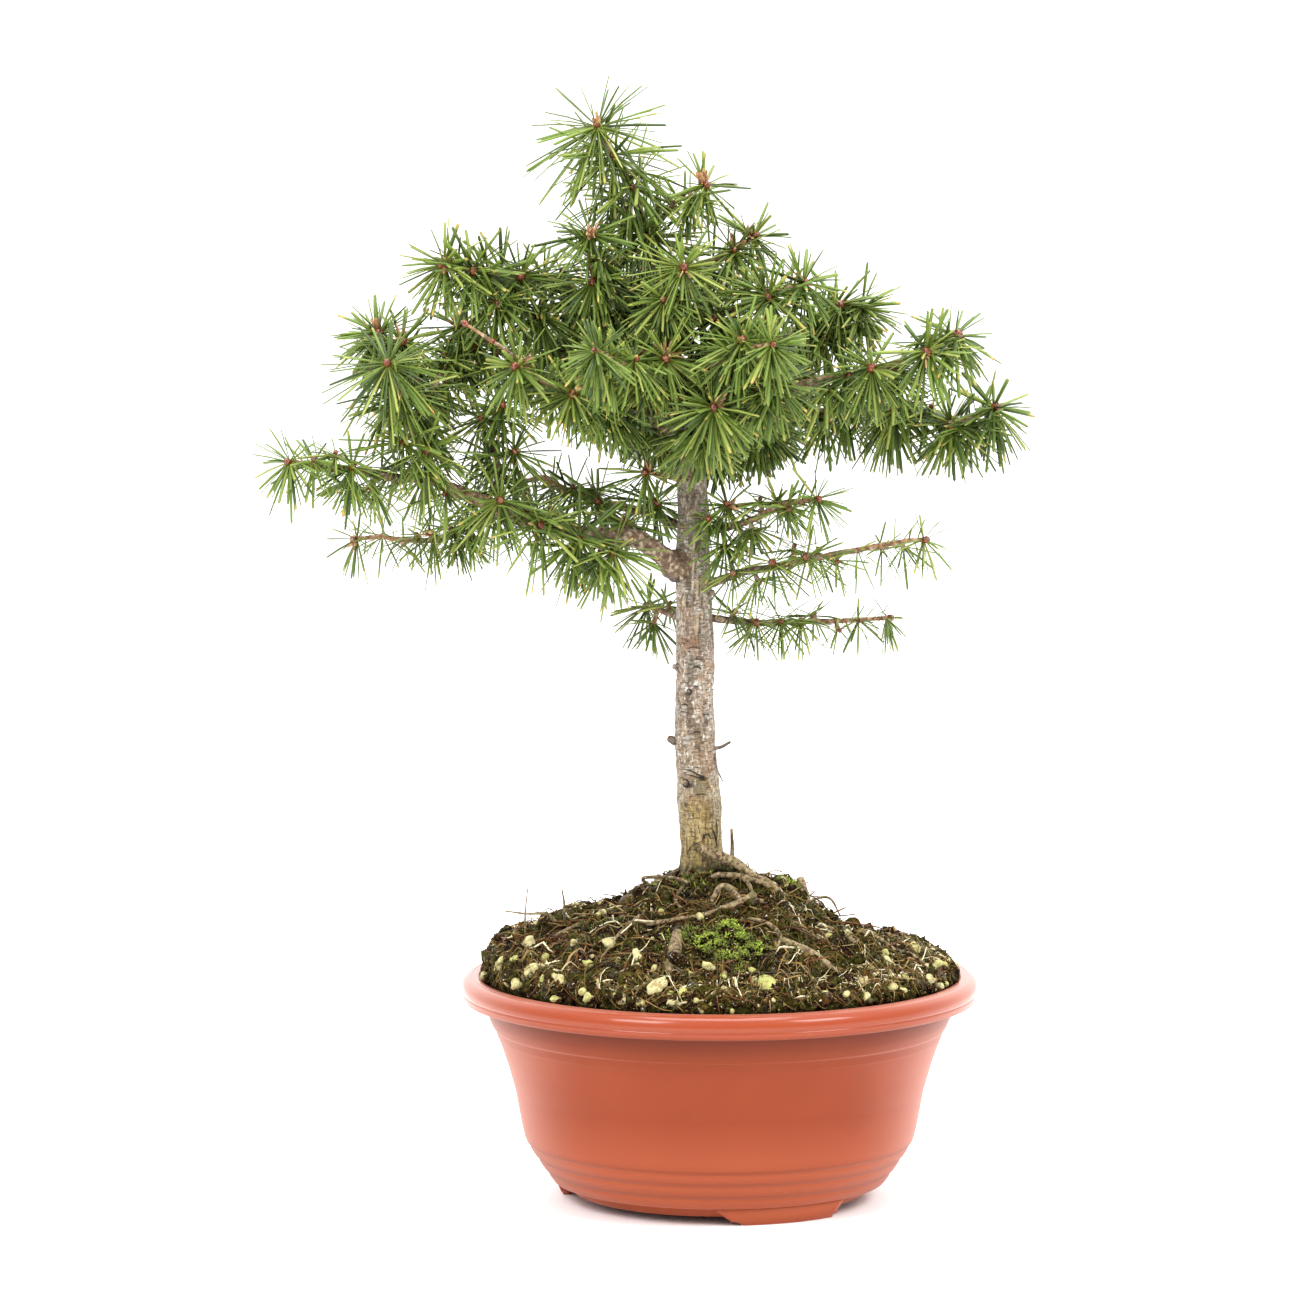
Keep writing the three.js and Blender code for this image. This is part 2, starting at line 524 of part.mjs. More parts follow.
function mossCushion(grow, random) {
  const { x, y, sunk, halfWide, halfDeep, halfHigh, unevenness } = MOSS;
  const halfSizes = [halfWide + grow, halfDeep + grow, halfHigh + grow];
  const cushion = lump([0, 0, 0], halfSizes, 1, grow > 0 ? 0 : unevenness, random);
  const rise = moundHeight(x, y + MOSS_SLOPE_REACH) - moundHeight(x, y - MOSS_SLOPE_REACH);
  const slope = THREE.MathUtils.radToDeg(Math.atan2(rise, 2 * MOSS_SLOPE_REACH));
  return cushion.rotate([slope, 0, 0]).translate([x, y, moundHeight(x, y) - sunk]);
}

// ---- Trunk ------------------------------------------------------------------------------

const trunkCurve = curveThrough(vectors(TRUNK_ROUTE));

function makeTrunk(grow) {
  const random = seededRandom(SEEDS.knot);
  const options = { sides: TRUNK_SIDES, steps: TRUNK_STEPS, grow, lumps: TRUNK_LUMPS };
  const wood = [limb(trunkCurve, TRUNK_RADII, options)];
  for (const { route, radii } of TRUNK_ROOTS) {
    const thin = { sides: THIN_SIDES, steps: ROOT_STEPS, grow };
    wood.push(limb(curveThrough(onMound(route)), radii, thin));
  }
  for (const { route, radii } of TRUNK_STUBS) {
    const thin = { sides: THIN_SIDES, steps: STUB_STEPS, grow };
    wood.push(limb(curveThrough(vectors(route)), radii, thin));
  }
  wood.push(lump(KNOT.at, KNOT.halfSizes.map((size) => size + grow), 1, KNOT.unevenness, random));
  return joined(wood);
}

// ---- Rosettes ---------------------------------------------------------------------------

// The facets of a bud, turned so that one facet looks up and one down: their corners, the
// angle of their middle from straight up, and its bearing.
function budFacets() {
  const bud = new THREE.IcosahedronGeometry(1, 0);
  const place = bud.getAttribute("position");
  const corners = [];
  for (let i = 0; i < place.count; i++) corners.push(new THREE.Vector3().fromBufferAttribute(place, i));
  const firstFacet = corners[0].clone().add(corners[1]).add(corners[2]).normalize();
  const upright = new THREE.Quaternion().setFromUnitVectors(firstFacet, UP);
  corners.forEach((corner) => corner.applyQuaternion(upright));
  const facets = [];
  for (let i = 0; i < corners.length; i += 3) {
    const facet = corners.slice(i, i + 3);
    const middle = facet[0].clone().add(facet[1]).add(facet[2]).normalize();
    facets.push({ corners: facet, fall: Math.acos(middle.z), bearing: Math.atan2(middle.y, middle.x) });
  }
  return facets;
}

const BUD_FACETS = budFacets();
// The rings of facets from the top of a bud down: each holds the facets whose middles are
// less than limit degrees from straight up, and points its needles at the angle needle.
const RINGS = [
  { limit: 20, needle: 8 },
  { limit: 60, needle: 38 },
  { limit: 90, needle: 67 },
  { limit: 120, needle: 94 },
  { limit: 160, needle: 122, fullOnly: true },
];

// The ring of a facet, or nothing for the lowest facet, which the bud's root grows from.
function ringOf(facet) {
  return RINGS.find(({ limit }) => THREE.MathUtils.radToDeg(facet.fall) < limit);
}

// Two straight stretches: the shares along each where they pass closest, and the distance.
function closestPass(a, b, c, d) {
  const along = b.clone().sub(a);
  const across = d.clone().sub(c);
  const between = a.clone().sub(c);
  const aa = Math.max(along.lengthSq(), TINY);
  const cc = Math.max(across.lengthSq(), TINY);
  const ac = along.dot(across);
  const start = along.dot(between);
  const offset = across.dot(between);
  const spread = aa * cc - ac * ac;
  let s = spread > TINY ? THREE.MathUtils.clamp((ac * offset - start * cc) / spread, 0, 1) : 0;
  const t = THREE.MathUtils.clamp((ac * s + offset) / cc, 0, 1);
  s = THREE.MathUtils.clamp((ac * t - start) / aa, 0, 1);
  const gap = a.clone().addScaledVector(along, s).sub(c.clone().addScaledVector(across, t)).length();
  return { s, t, gap };
}

// Everything that a new needle has to miss: straight stretches with a radius at each end.
const stretches = [];

function addStretch(spray, rosette, a, b, startRadius, endRadius) {
  const middle = a.clone().add(b).multiplyScalar(0.5);
  const reach = a.distanceTo(b) / 2 + Math.max(startRadius, endRadius);
  stretches.push({ spray, rosette, a, b, startRadius, endRadius, middle, reach });
}

function addLimbStretches(spray, curve, radii, steps) {
  for (let step = 0; step < steps; step++) {
    const [from, to] = [step / steps, (step + 1) / steps];
    const [a, b] = [curve.getPointAt(from), curve.getPointAt(to)];
    addStretch(spray, null, a, b, valueAt(radii, from), valueAt(radii, to));
  }
}

// Whether a needle from the heart of a rosette to its tip is clear of all that stands.
function isClear(spray, rosette, root, tip) {
  const middle = root.clone().add(tip).multiplyScalar(0.5);
  const reach = root.distanceTo(tip) / 2 + BUD_RADIUS;
  return stretches.every((other) => {
    if (other.rosette === rosette) return true;
    if (middle.distanceTo(other.middle) > reach + other.reach + 1) return true;
    const { s, t, gap } = closestPass(root, tip, other.a, other.b);
    if (other.spray === spray && s < OWN_TWIG_REACH) return true;
    const own = NEEDLE_HALF_WIDTH * (1 - s) + NEEDLE_TIP_RADIUS;
    const theirs = THREE.MathUtils.lerp(other.startRadius, other.endRadius, t);
    return gap > own + theirs + (other.spray === spray ? CLEAR_OF_OWN : CLEAR_OF_OTHERS);
  });
}

// Whether a bud of another spray can stand at a point.
function budFits(spray, at) {
  return stretches.every((other) => {
    if (other.spray === spray) return true;
    const { t, gap } = closestPass(at, at, other.a, other.b);
    return gap > BUD_RADIUS + THREE.MathUtils.lerp(other.startRadius, other.endRadius, t) + GAP;
  });
}

// Draws a needle for each facet of a rosette, trying other directions where one is blocked.
// The lowest facet is drawn out to the bud's root, inside the twig.
function growNeedles(rosette, random) {
  const shake = (amount) => amount * (2 * random() - 1);
  rosette.tips = BUD_FACETS.map((facet) => {
    const ring = ringOf(facet);
    if (!ring) return rosette.root;
    if (ring.fullOnly && !rosette.full) return null;
    const fall = THREE.MathUtils.degToRad(ring.needle);
    for (let attempt = 0; attempt < NEEDLE_TRIES; attempt++) {
      const jitter = NEEDLE_JITTER * (1 + attempt * JITTER_GROWTH);
      const direction = new THREE.Vector3(Math.cos(facet.bearing), Math.sin(facet.bearing), 0);
      direction.multiplyScalar(Math.sin(fall)).addScaledVector(UP, Math.cos(fall));
      direction.applyQuaternion(rosette.turn);
      direction.add(new THREE.Vector3(shake(jitter), shake(jitter), shake(jitter) - NEEDLE_DROOP));
      const length = rosette.needle * (1 + shake(NEEDLE_LENGTH_SPREAD));
      const tip = rosette.at.clone().addScaledVector(direction.normalize(), length);
      if (isClear(rosette.spray, rosette, rosette.at, tip)) {
        addStretch(rosette.spray, rosette, rosette.at, tip, NEEDLE_HALF_WIDTH, NEEDLE_TIP_RADIUS);
        return tip;
      }
    }
    return null;
  });
}

// A rosette as a solid: the bud's facets, each drawn out to the tip of its needle.
function rosetteSolid(rosette) {
  const corners = [];
  BUD_FACETS.forEach((facet, i) => {
    const [a, b, c] = facet.corners.map((corner) =>
      corner.clone().multiplyScalar(BUD_RADIUS).applyQuaternion(rosette.turn).add(rosette.at),
    );
    const tip = rosette.tips[i];
    if (tip) corners.push(a, b, tip, b, c, tip, c, a, tip);
    else corners.push(a, b, c);
  });
  return solidOf(new THREE.BufferGeometry().setFromPoints(corners));
}

// ---- Sprays -----------------------------------------------------------------------------

function nearestOn(samples, at) {
  return samples.toSorted((a, b) => a.distanceTo(at) - b.distanceTo(at))[0];
}

// The turn that takes straight up to an axis, spun about it.
function turnTo(axis, spin) {
  const tilt = new THREE.Quaternion().setFromUnitVectors(UP, axis.clone().normalize());
  return tilt.multiply(new THREE.Quaternion().setFromAxisAngle(UP, spin));
}

// Places the rosettes of a spray: along its twig at the golden angle, on its stars and tip.
function placeRosettes(spray) {
  const { curve, radii, needle, first, spacing } = spray;
  const length = curve.getLength();
  const samples = curve.getSpacedPoints(ROUTE_SAMPLES);
  const stars = vectors(spray.stars);
  const rosettes = [];
  const add = (at, axis, spin, full) => {
    if (!budFits(spray.name, at)) return;
    const nearest = nearestOn(samples, at);
    const root = nearest.clone().addScaledVector(nearest.clone().sub(at).normalize(), ROOT_DEPTH);
    rosettes.push({ at, turn: turnTo(axis, spin), root, needle, full, spray: spray.name });
  };
  for (let along = first, i = 0; along < length - TIP_ROOM * spacing; along += spacing, i++) {
    const u = along / length;
    const tangent = curve.getTangentAt(u);
    const side = tangent.clone().cross(UP).normalize();
    const lift = side.clone().cross(tangent);
    const turn = i * GOLDEN_ANGLE + FIRST_TURN;
    const outward = lift.multiplyScalar(Math.cos(turn)).addScaledVector(side, Math.sin(turn));
    const at = curve.getPointAt(u).addScaledVector(outward, valueAt(radii, u) + BUD_STANDOFF);
    const taken = stars.some((star) => at.distanceTo(star) < STAR_ROOM);
    if (!taken) add(at, outward.clone().addScaledVector(tangent, SPUR_LEAN), turn, false);
  }
  stars.forEach((star, i) => add(star, star.clone().sub(nearestOn(samples, star)).add(FRONT), i, false));
  const ahead = curve.getTangentAt(1);
  add(curve.getPointAt(1).addScaledVector(ahead, BUD_STANDOFF), ahead, TIP_SPIN, true);
  return rosettes;
}

function twigOf(spray, grow) {
  const steps = Math.max(TWIG_LEAST_STEPS, Math.round(spray.curve.getLength() / TWIG_STEP));
  const sides = spray.radii[0] > THICK_TWIG ? TWIG_SIDES + 2 : TWIG_SIDES;
  return limb(spray.curve, spray.radii, { sides, steps, grow });
}

function prepareSprays() {
  const sprays = SPRAYS.map((spray) => {
    const route = vectors(spray.route);
    return { ...spray, route, curve: curveThrough(route) };
  });
  addLimbStretches("trunk", trunkCurve, TRUNK_RADII, TRUNK_STEPS);
  for (const { name, curve, radii } of sprays) {
    addLimbStretches(name, curve, radii, Math.ceil(curve.getLength() / STRETCH_STEP));
  }
  for (const spray of sprays) {
    spray.rosettes = placeRosettes(spray);
    for (const rosette of spray.rosettes) {
      addStretch(spray.name, rosette, rosette.at, rosette.at, BUD_RADIUS, BUD_RADIUS);
    }
  }
  const random = seededRandom(SEEDS.needles);
  for (const spray of sprays) {
    for (const rosette of spray.rosettes) growNeedles(rosette, random);
  }
  return sprays;
}

function sprayMesh(spray, sprays, fatTrunk) {
  const pieces = [twigOf(spray, 0)];
  for (const rosette of spray.rosettes) pieces.push(rosetteSolid(rosette));
  const carrier = sprays.find(({ name }) => name === spray.on);
  const cutter = carrier ? twigOf(carrier, GAP) : fatTrunk;
  return meshOf(joined(pieces).subtract(cutter), "spray_" + spray.name, FINISHES.needles);
}

// ---- The whole object -------------------------------------------------------------------

const plant = new THREE.Group();
const fatTrunk = makeTrunk(GAP);
plant.add(meshOf(makeTrunk(0), "trunk", FINISHES.bark));
const sprays = prepareSprays();
for (const spray of sprays) plant.add(sprayMesh(spray, sprays, fatTrunk));

const potted = new THREE.Group();
const soilRandom = seededRandom(SEEDS.soil);
const plug = joined([makePlug(soilRandom), ...makeGranules(soilRandom), ...looseRoots()]);
const nest = mossCushion(MOSS_NEST_GAP, seededRandom(SEEDS.moss));
potted.add(meshOf(makeBowl(), "pot", FINISHES.bowl));
potted.add(meshOf(plug.subtract(fatTrunk).subtract(nest), "soil", FINISHES.soil));
potted.add(meshOf(mossCushion(0, seededRandom(SEEDS.moss)), "moss_front", FINISHES.moss));

const bonsai = new THREE.Group();
bonsai.add(potted, plant);
const box = new THREE.Box3().setFromObject(bonsai);
const middle = box.getCenter(new THREE.Vector3());
potted.position.set(-middle.x, -middle.y, -box.min.z);
plant.position.copy(potted.position);

export default bonsai;
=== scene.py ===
"""A young larch grown as a bonsai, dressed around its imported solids.

Shapes are worked out in millimetres about the bowl's upright axis, with the front of the
bowl towards -Y. make_piece turns them into the frame's metres.
"""
import logging
from dataclasses import dataclass, field
from enum import Enum
from typing import Callable

import bmesh
import bpy
import numpy as np
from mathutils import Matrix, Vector


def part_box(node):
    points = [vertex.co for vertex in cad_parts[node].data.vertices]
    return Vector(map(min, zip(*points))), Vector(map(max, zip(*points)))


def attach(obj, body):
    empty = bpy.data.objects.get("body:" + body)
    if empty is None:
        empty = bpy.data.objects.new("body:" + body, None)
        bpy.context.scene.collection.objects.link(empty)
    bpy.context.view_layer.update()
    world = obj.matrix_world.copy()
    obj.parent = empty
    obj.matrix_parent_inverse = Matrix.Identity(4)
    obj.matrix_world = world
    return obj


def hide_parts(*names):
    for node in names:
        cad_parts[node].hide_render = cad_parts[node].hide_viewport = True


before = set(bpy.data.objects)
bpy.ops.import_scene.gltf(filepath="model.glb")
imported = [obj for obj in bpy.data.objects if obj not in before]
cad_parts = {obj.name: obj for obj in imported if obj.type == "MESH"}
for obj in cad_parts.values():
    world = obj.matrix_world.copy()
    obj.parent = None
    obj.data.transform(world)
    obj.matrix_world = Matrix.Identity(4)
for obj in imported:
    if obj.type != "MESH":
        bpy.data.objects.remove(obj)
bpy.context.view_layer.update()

MM = 0.001
POT_LOW, POT_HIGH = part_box("pot")
AXIS_PLACE = np.array([(POT_LOW[0] + POT_HIGH[0]) / 2, (POT_LOW[1] + POT_HIGH[1]) / 2, 0.0])
UP = np.array([0.0, 0.0, 1.0])
FRONT = np.array([0.0, -1.0, 0.0])
ABOUT_UP = UP + 0.01 * FRONT
FULL_TURN = 2 * np.pi
GOLDEN_ANGLE = np.pi * (3 - np.sqrt(5))
Array = np.ndarray
Random = np.random.Generator
Material = bpy.types.Material
Socket = bpy.types.NodeSocket
Colour = tuple[float, float, float]
Stretch = tuple[float, float, float]
Swell = Callable[[Array, Array], Array]
log = logging.getLogger("larch_bonsai")


# ---- Surfaces ----


def unit(vectors: Array) -> Array:
    """Vectors brought to length one along their last axis."""
    return vectors / np.maximum(np.linalg.norm(vectors, axis=-1, keepdims=True), 1e-9)


def turned(radius: Array | float, angle: Array, height: Array | float) -> Array:
    """Places about an upright axis: radius times cos a, radius times sin a, height."""
    places = np.broadcast_arrays(radius * np.cos(angle), radius * np.sin(angle), height)
    return np.stack(places, axis=-1)


def from_front(radius: Array, angle: Array) -> Array:
    """Level offsets from an axis, where an angle of nothing points to the front."""
    return np.stack([np.sin(angle) * radius, -np.cos(angle) * radius, 0 * radius], axis=-1)


def bell(x: Array, middle: float, width: float) -> Array:
    """One at the middle, falling as e to the minus square of the distance in widths."""
    return np.exp(-(((x - middle) / width) ** 2))


@dataclass
class Skin:
    """Corners and faces of a surface, with the marks that its finish reads at each corner."""

    corners: Array
    faces: list[Array]
    marks: dict[str, Array] = field(default_factory=dict)

    def marked(self, **marks: float | Array) -> "Skin":
        """Gives the corners marks.

        Args:
            marks: One number, or an array of one for each corner.

        Returns:
            The same skin.
        """
        for name, value in marks.items():
            value = np.broadcast_to(np.asarray(value, float), len(self.corners))
            self.marks[name] = value.copy()
        return self

    def each_marked(self, **marks: Array) -> "Skin":
        """Gives each of the skin's equal bodies marks of its own.

        Args:
            marks: One number for each body.

        Returns:
            The same skin.
        """
        for name, values in marks.items():
            self.marks[name] = np.repeat(values, len(self.corners) // len(values))
        return self


def merged(skins: list[Skin]) -> Skin:
    """Several skins, which all carry the same marks, as one.

    Args:
        skins: The skins.

    Returns:
        One skin with the corners, faces and marks of them all.
    """
    starts = np.cumsum([0] + [len(skin.corners) for skin in skins])
    faces = [face + start for skin, start in zip(skins, starts) for face in skin.faces]
    marks = {name: np.concatenate([skin.marks[name] for skin in skins]) for name in skins[0].marks}
    return Skin(np.concatenate([skin.corners for skin in skins]), faces, marks)


def ring_quads(rows: int, columns: int, closed_rows: bool = False) -> Array:
    """Faces between rings of corners.

    Args:
        rows: Number of rings.
        columns: Number of corners in a ring, which is closed.
        closed_rows: Whether the last ring joins the first one.

    Returns:
        An array of quads, which face outwards where each ring runs anticlockwise about the
        way from the first ring to the last.
    """
    row = np.arange(rows if closed_rows else rows - 1)[:, None]
    column = np.arange(columns)[None, :]
    here, after, beside = row * columns, (row + 1) % rows * columns, (column + 1) % columns
    quads = [here + column, here + beside, after + beside, after + column]
    return np.stack(quads, axis=-1).reshape(-1, 4)


def ringed(rings: Array, start: Array, end: Array) -> Skin:
    """Many closed bodies at once, each a row of rings shut by a point at both ends.

    Args:
        rings: Corners as (body, ring, corner, 3).
        start: The point that shuts each body before its first ring.
        end: The point that shuts each body after its last ring.

    Returns:
        One skin that holds all the bodies.
    """
    bodies, rows, columns = rings.shape[:3]
    size = rows * columns + 2
    corners = [rings.reshape(bodies, -1, 3), start[:, None], end[:, None]]
    index = np.arange(columns)
    beside = (index + 1) % columns
    last = (rows - 1) * columns
    root = np.stack([beside, index, np.full(columns, size - 2)], axis=-1)
    tip = np.stack([last + index, last + beside, np.full(columns, size - 1)], axis=-1)
    shift = (np.arange(bodies) * size)[:, None, None]
    quads = (ring_quads(rows, columns)[None] + shift).reshape(-1, 4)
    fans = (np.concatenate([root, tip])[None] + shift).reshape(-1, 3)
    return Skin(np.concatenate(corners, axis=1).reshape(-1, 3), [quads, fans])


def lattice_noise(x: Array, y: Array, cell: float, seed: int) -> Array:
    """Smooth random heights from -1 to 1.

    Random values stand on a square lattice. Between its lines the height is blended from
    the four nearest values with the weight 3 t squared less 2 t cubed.

    Args:
        x: First coordinates.
        y: Second coordinates.
        cell: Distance between the lattice's lines.
        seed: Seed of the random values.

    Returns:
        One height for each pair of coordinates.
    """
    size = 128
    table = np.random.default_rng(seed).uniform(-1, 1, (size, size))
    u, v = x / cell, y / cell
    i, j = np.floor(u).astype(int), np.floor(v).astype(int)
    s, t = ((3 - 2 * share) * share**2 for share in (u - i, v - j))
    low, high = (
        table[i % size, row % size] * (1 - s) + table[(i + 1) % size, row % size] * s
        for row in (j, j + 1)
    )
    return low * (1 - t) + high * t


def limb_noise(
    angle: Array, along: Array, wide: float, drift: tuple, cell: float, seed: int
) -> Array:
    """Lattice noise round a limb, read on a circle that drifts across the lattice.

    Args:
        angle: Angles round the limb.
        along: Lengths along it.
        wide: Radius of the circle.
        drift: How far the circle drifts each way for one of length.
        cell: Distance between the lattice's lines.
        seed: Seed of the random values.

    Returns:
        The noise.
    """
    x, y = np.cos(angle) * wide + along * drift[0], np.sin(angle) * wide + along * drift[1]
    return lattice_noise(x, y, cell, seed)


class Path:
    """A smooth route through points, read by its share of length.

    Between two points the place is a cubic in t whose slope at each point is half the step
    between that point's two neighbours.
    """

    def __init__(self, points: Array | tuple | list, samples: int = 24) -> None:
        """Samples the route.

        Args:
            points: The points that it passes through.
            samples: Samples between two points.
        """
        hand = np.array(points, float)
        knots = np.vstack([2 * hand[0] - hand[1], hand, 2 * hand[-1] - hand[-2]])
        before, a, b, after = (knots[k : k + len(hand) - 1, None] for k in range(4))
        t = np.linspace(0, 1, samples, endpoint=False)[None, :, None]
        rise, fall = (b - before) / 2, (after - a) / 2
        cubic = (2 * a - 2 * b + rise + fall) * t**3 + (3 * b - 3 * a - 2 * rise - fall) * t**2
        cubic = cubic + rise * t + a
        self.points = np.vstack([cubic.reshape(-1, 3), hand[-1]])
        steps = np.linalg.norm(np.diff(self.points, axis=0), axis=1)
        self.reach = np.concatenate([[0], np.cumsum(steps)])
        self.length = float(self.reach[-1])

    def at(self, share: Array | float) -> Array:
        """Places at shares of the length."""
        along = np.asarray(share, float) * self.length
        return np.stack([np.interp(along, self.reach, axis) for axis in self.points.T], axis=-1)

    def tangent(self, share: Array | float) -> Array:
        """Unit directions of travel at shares of the length."""
        ahead, behind = np.minimum(share + 0.01, 1), np.maximum(share - 0.01, 0)
        return unit(self.at(ahead) - self.at(behind))

    def nearest(self, place: Array) -> tuple[Array, float]:
        """The point of the route nearest to a place, and its share of the length."""
        index = int(np.argmin(np.linalg.norm(self.points - place, axis=1)))
        return self.points[index], float(self.reach[index] / self.length)

    def frames(self, share: Array) -> tuple[Array, Array, Array]:
        """Directions of travel, and two across it that hardly twist.

        The first direction across is square to the travel and to the axis that the whole
        route runs along least.

        Args:
            share: Shares of the length.

        Returns:
            The three directions at each share.
        """
        tangents = self.tangent(share)
        still = np.linalg.svd(tangents, full_matrices=False)[2][-1]
        across = unit(np.cross(tangents, still))
        return tangents, across, np.cross(tangents, across)


def values_along(values: tuple, share: Array) -> Array:
    """The value at shares along a row of evenly spaced values."""
    return np.interp(share, np.linspace(0, 1, len(values)), values)


def limb_skin(
    path: Path, radii: tuple, sides: int, step: float, swell: Swell | None = None
) -> Skin:
    """A tapering limb along a path, which ends in a low dome.

    A corner stands on the path at share u, out by the radius at u times the swell at u and
    the angle a, in the direction cos a times one vector across the path plus sin a times
    the other.

    Args:
        path: The limb's middle line.
        radii: Radii at even steps along it.
        sides: Corners in a ring.
        step: Distance between rings.
        swell: A function of the angle and the length along the limb, or None.

    Returns:
        The closed skin, marked with the share along the limb as "along".
    """
    share = np.linspace(0, 1, max(4, int(path.length / step)))
    tangents, across, lift = path.frames(share)
    angle = np.linspace(0, FULL_TURN, sides, endpoint=False)
    radius = values_along(radii, share)[:, None] * np.ones(sides)
    if swell is not None:
        radius = radius * swell(angle[None, :], (share * path.length)[:, None])
    turn = angle[None, :, None]
    outward = np.cos(turn) * across[:, None] + np.sin(turn) * lift[:, None]
    middles = path.at(share)
    rings = middles[:, None] + radius[..., None] * outward
    dome = rings[-1] * 0.65 + middles[-1] * 0.35 + tangents[-1] * radii[-1] * 0.45
    tip = middles[-1] + tangents[-1] * radii[-1] * 0.6
    skin = ringed(np.concatenate([rings, dome[None]])[None], middles[:1], tip[None])
    return skin.marked(along=np.append(np.repeat(np.append(share, 1), sides), [0, 1]))


@dataclass
class Blades:
    """A bundle of slender blades, such as needles: one row of every array for each blade."""

    roots: Array
    directions: Array
    lengths: Array
    half_widths: Array
    bends: Array
    rolls: Array
    tones: Array
    ages: Array

    @staticmethod
    def together(bundles: list["Blades"]) -> "Blades":
        """Several bundles as one."""
        rows = zip(*(vars(bundle).values() for bundle in bundles))
        return Blades(*(np.concatenate(row) for row in rows))

    def skin(self, stations: tuple, thickness: float) -> Skin:
        """The blades as closed bodies with a four-cornered section.

        The middle line at share t is the root, plus the length times t along the blade's
        direction, plus the bend times t squared towards the ground. A corner stands out
        from it by the half width across the blade, or by that times the thickness.

        Args:
            stations: Share of the length and share of the half width of each ring.
            thickness: Thickness of a blade against its width.

        Returns:
            The skin, marked with the share along the blade, the blade's tone and age, and
            the keel, which is one on the middle line and nothing on the two edges.
        """
        share, width = np.array(stations, float).T
        level = unit(np.cross(self.directions, UP) + 1e-6 * FRONT)
        lift = np.cross(self.directions, level)
        roll = self.rolls[:, None]
        side = np.cos(roll) * level + np.sin(roll) * lift
        face = np.cross(self.directions, side)
        down = self.directions * self.directions[:, 2:] - UP
        full = self.lengths[:, None]
        tips = self.roots + full * (self.directions + self.bends[:, None] * down)
        bow = (self.bends[:, None] * share**2)[..., None] * down[:, None]
        line = share[:, None] * self.directions[:, None] + bow
        middles = self.roots[:, None] + full[..., None] * line
        section = np.stack([side, thickness * face, -side, -thickness * face], axis=1)
        spread = (self.half_widths[:, None] * width)[..., None, None]
        skin = ringed(middles[:, :, None] + spread * section[:, None], self.roots, tips)
        along = np.append(np.repeat(share, 4), [0, 1])
        keel = np.append(np.tile([0.0, 1, 0, 1], len(share)), [0.5, 0.5])
        count = len(self.roots)
        skin.marked(along=np.tile(along, count), keel=np.tile(keel, count))
        return skin.each_marked(tone=self.tones, age=self.ages)


def ball(detail: int) -> tuple[Array, Array]:
    """A ball of radius one, made of even triangles.

    Args:
        detail: Its fineness.

    Returns:
        Its corners and its faces.
    """
    shape = bmesh.new()
    bmesh.ops.create_icosphere(shape, subdivisions=detail, radius=1)
    corners = np.array([vertex.co[:] for vertex in shape.verts])
    faces = np.array([[vertex.index for vertex in face.verts] for face in shape.faces])
    shape.free()
    return corners, faces


def lump_skins(
    places: Array, half_sizes: Array, turns: Array, detail: int, unevenness: float, rng: Random
) -> Skin:
    """Many uneven lumps at once.

    A corner of a ball is drawn in or out by a sum of three sine waves across the lump, whose
    directions and phases are random, then stretched to the half sizes and turned.

    Args:
        places: Middles, as (lump, 3).
        half_sizes: Half sizes, as (lump, 3).
        turns: Three unit axes of each lump, as (lump, 3, 3).
        detail: Fineness of the ball.
        unevenness: Share of the radius by which a wave moves a corner.
        rng: Source of the random waves.

    Returns:
        One skin that holds all the lumps.
    """
    corners, faces = ball(detail)
    count = len(places)
    waves = rng.normal(0, 2.1, (count, 3, 3))
    phases = rng.uniform(0, FULL_TURN, (count, 3, 1))
    radii = 1 + unevenness * np.sin(waves @ corners.T + phases).sum(axis=1)
    local = corners[None] * radii[..., None] * half_sizes[:, None]
    indices = faces[None] + (np.arange(count) * len(corners))[:, None, None]
    return Skin((places[:, None] + local @ turns).reshape(-1, 3), [indices.reshape(-1, 3)])


def random_turns(count: int, rng: Random) -> Array:
    """Random sets of three right-handed unit axes.

    Args:
        count: How many.
        rng: Source of the directions.

    Returns:
        The sets as (set, 3, 3).
    """
    first = unit(rng.normal(size=(count, 3)))
    second = unit(np.cross(first, rng.normal(size=(count, 3))))
    return np.stack([first, second, np.cross(first, second)], axis=1)


def seeded(seed: int) -> Random:
    """A field that holds a source of random numbers."""
    return field(default_factory=lambda: np.random.default_rng(seed))


def axis_turns(axes: Array, rng: Random) -> Array:
    """Sets of three unit axes whose third one is given and whose spin is random."""
    first = unit(np.cross(axes, rng.normal(size=axes.shape)))
    return np.stack([first, np.cross(axes, first), axes], axis=1)


def in_scene(name: str, data: bpy.types.ID) -> bpy.types.Object:
    """Puts a new object into the scene.

    Args:
        name: Its name.
        data: The mesh, light or camera that it holds.

    Returns:
        The object.
    """
    made = bpy.data.objects.new(name, data)
    bpy.context.scene.collection.objects.link(made)
    return made


class Tally:
    """What the pieces add up to."""

    triangles = 0


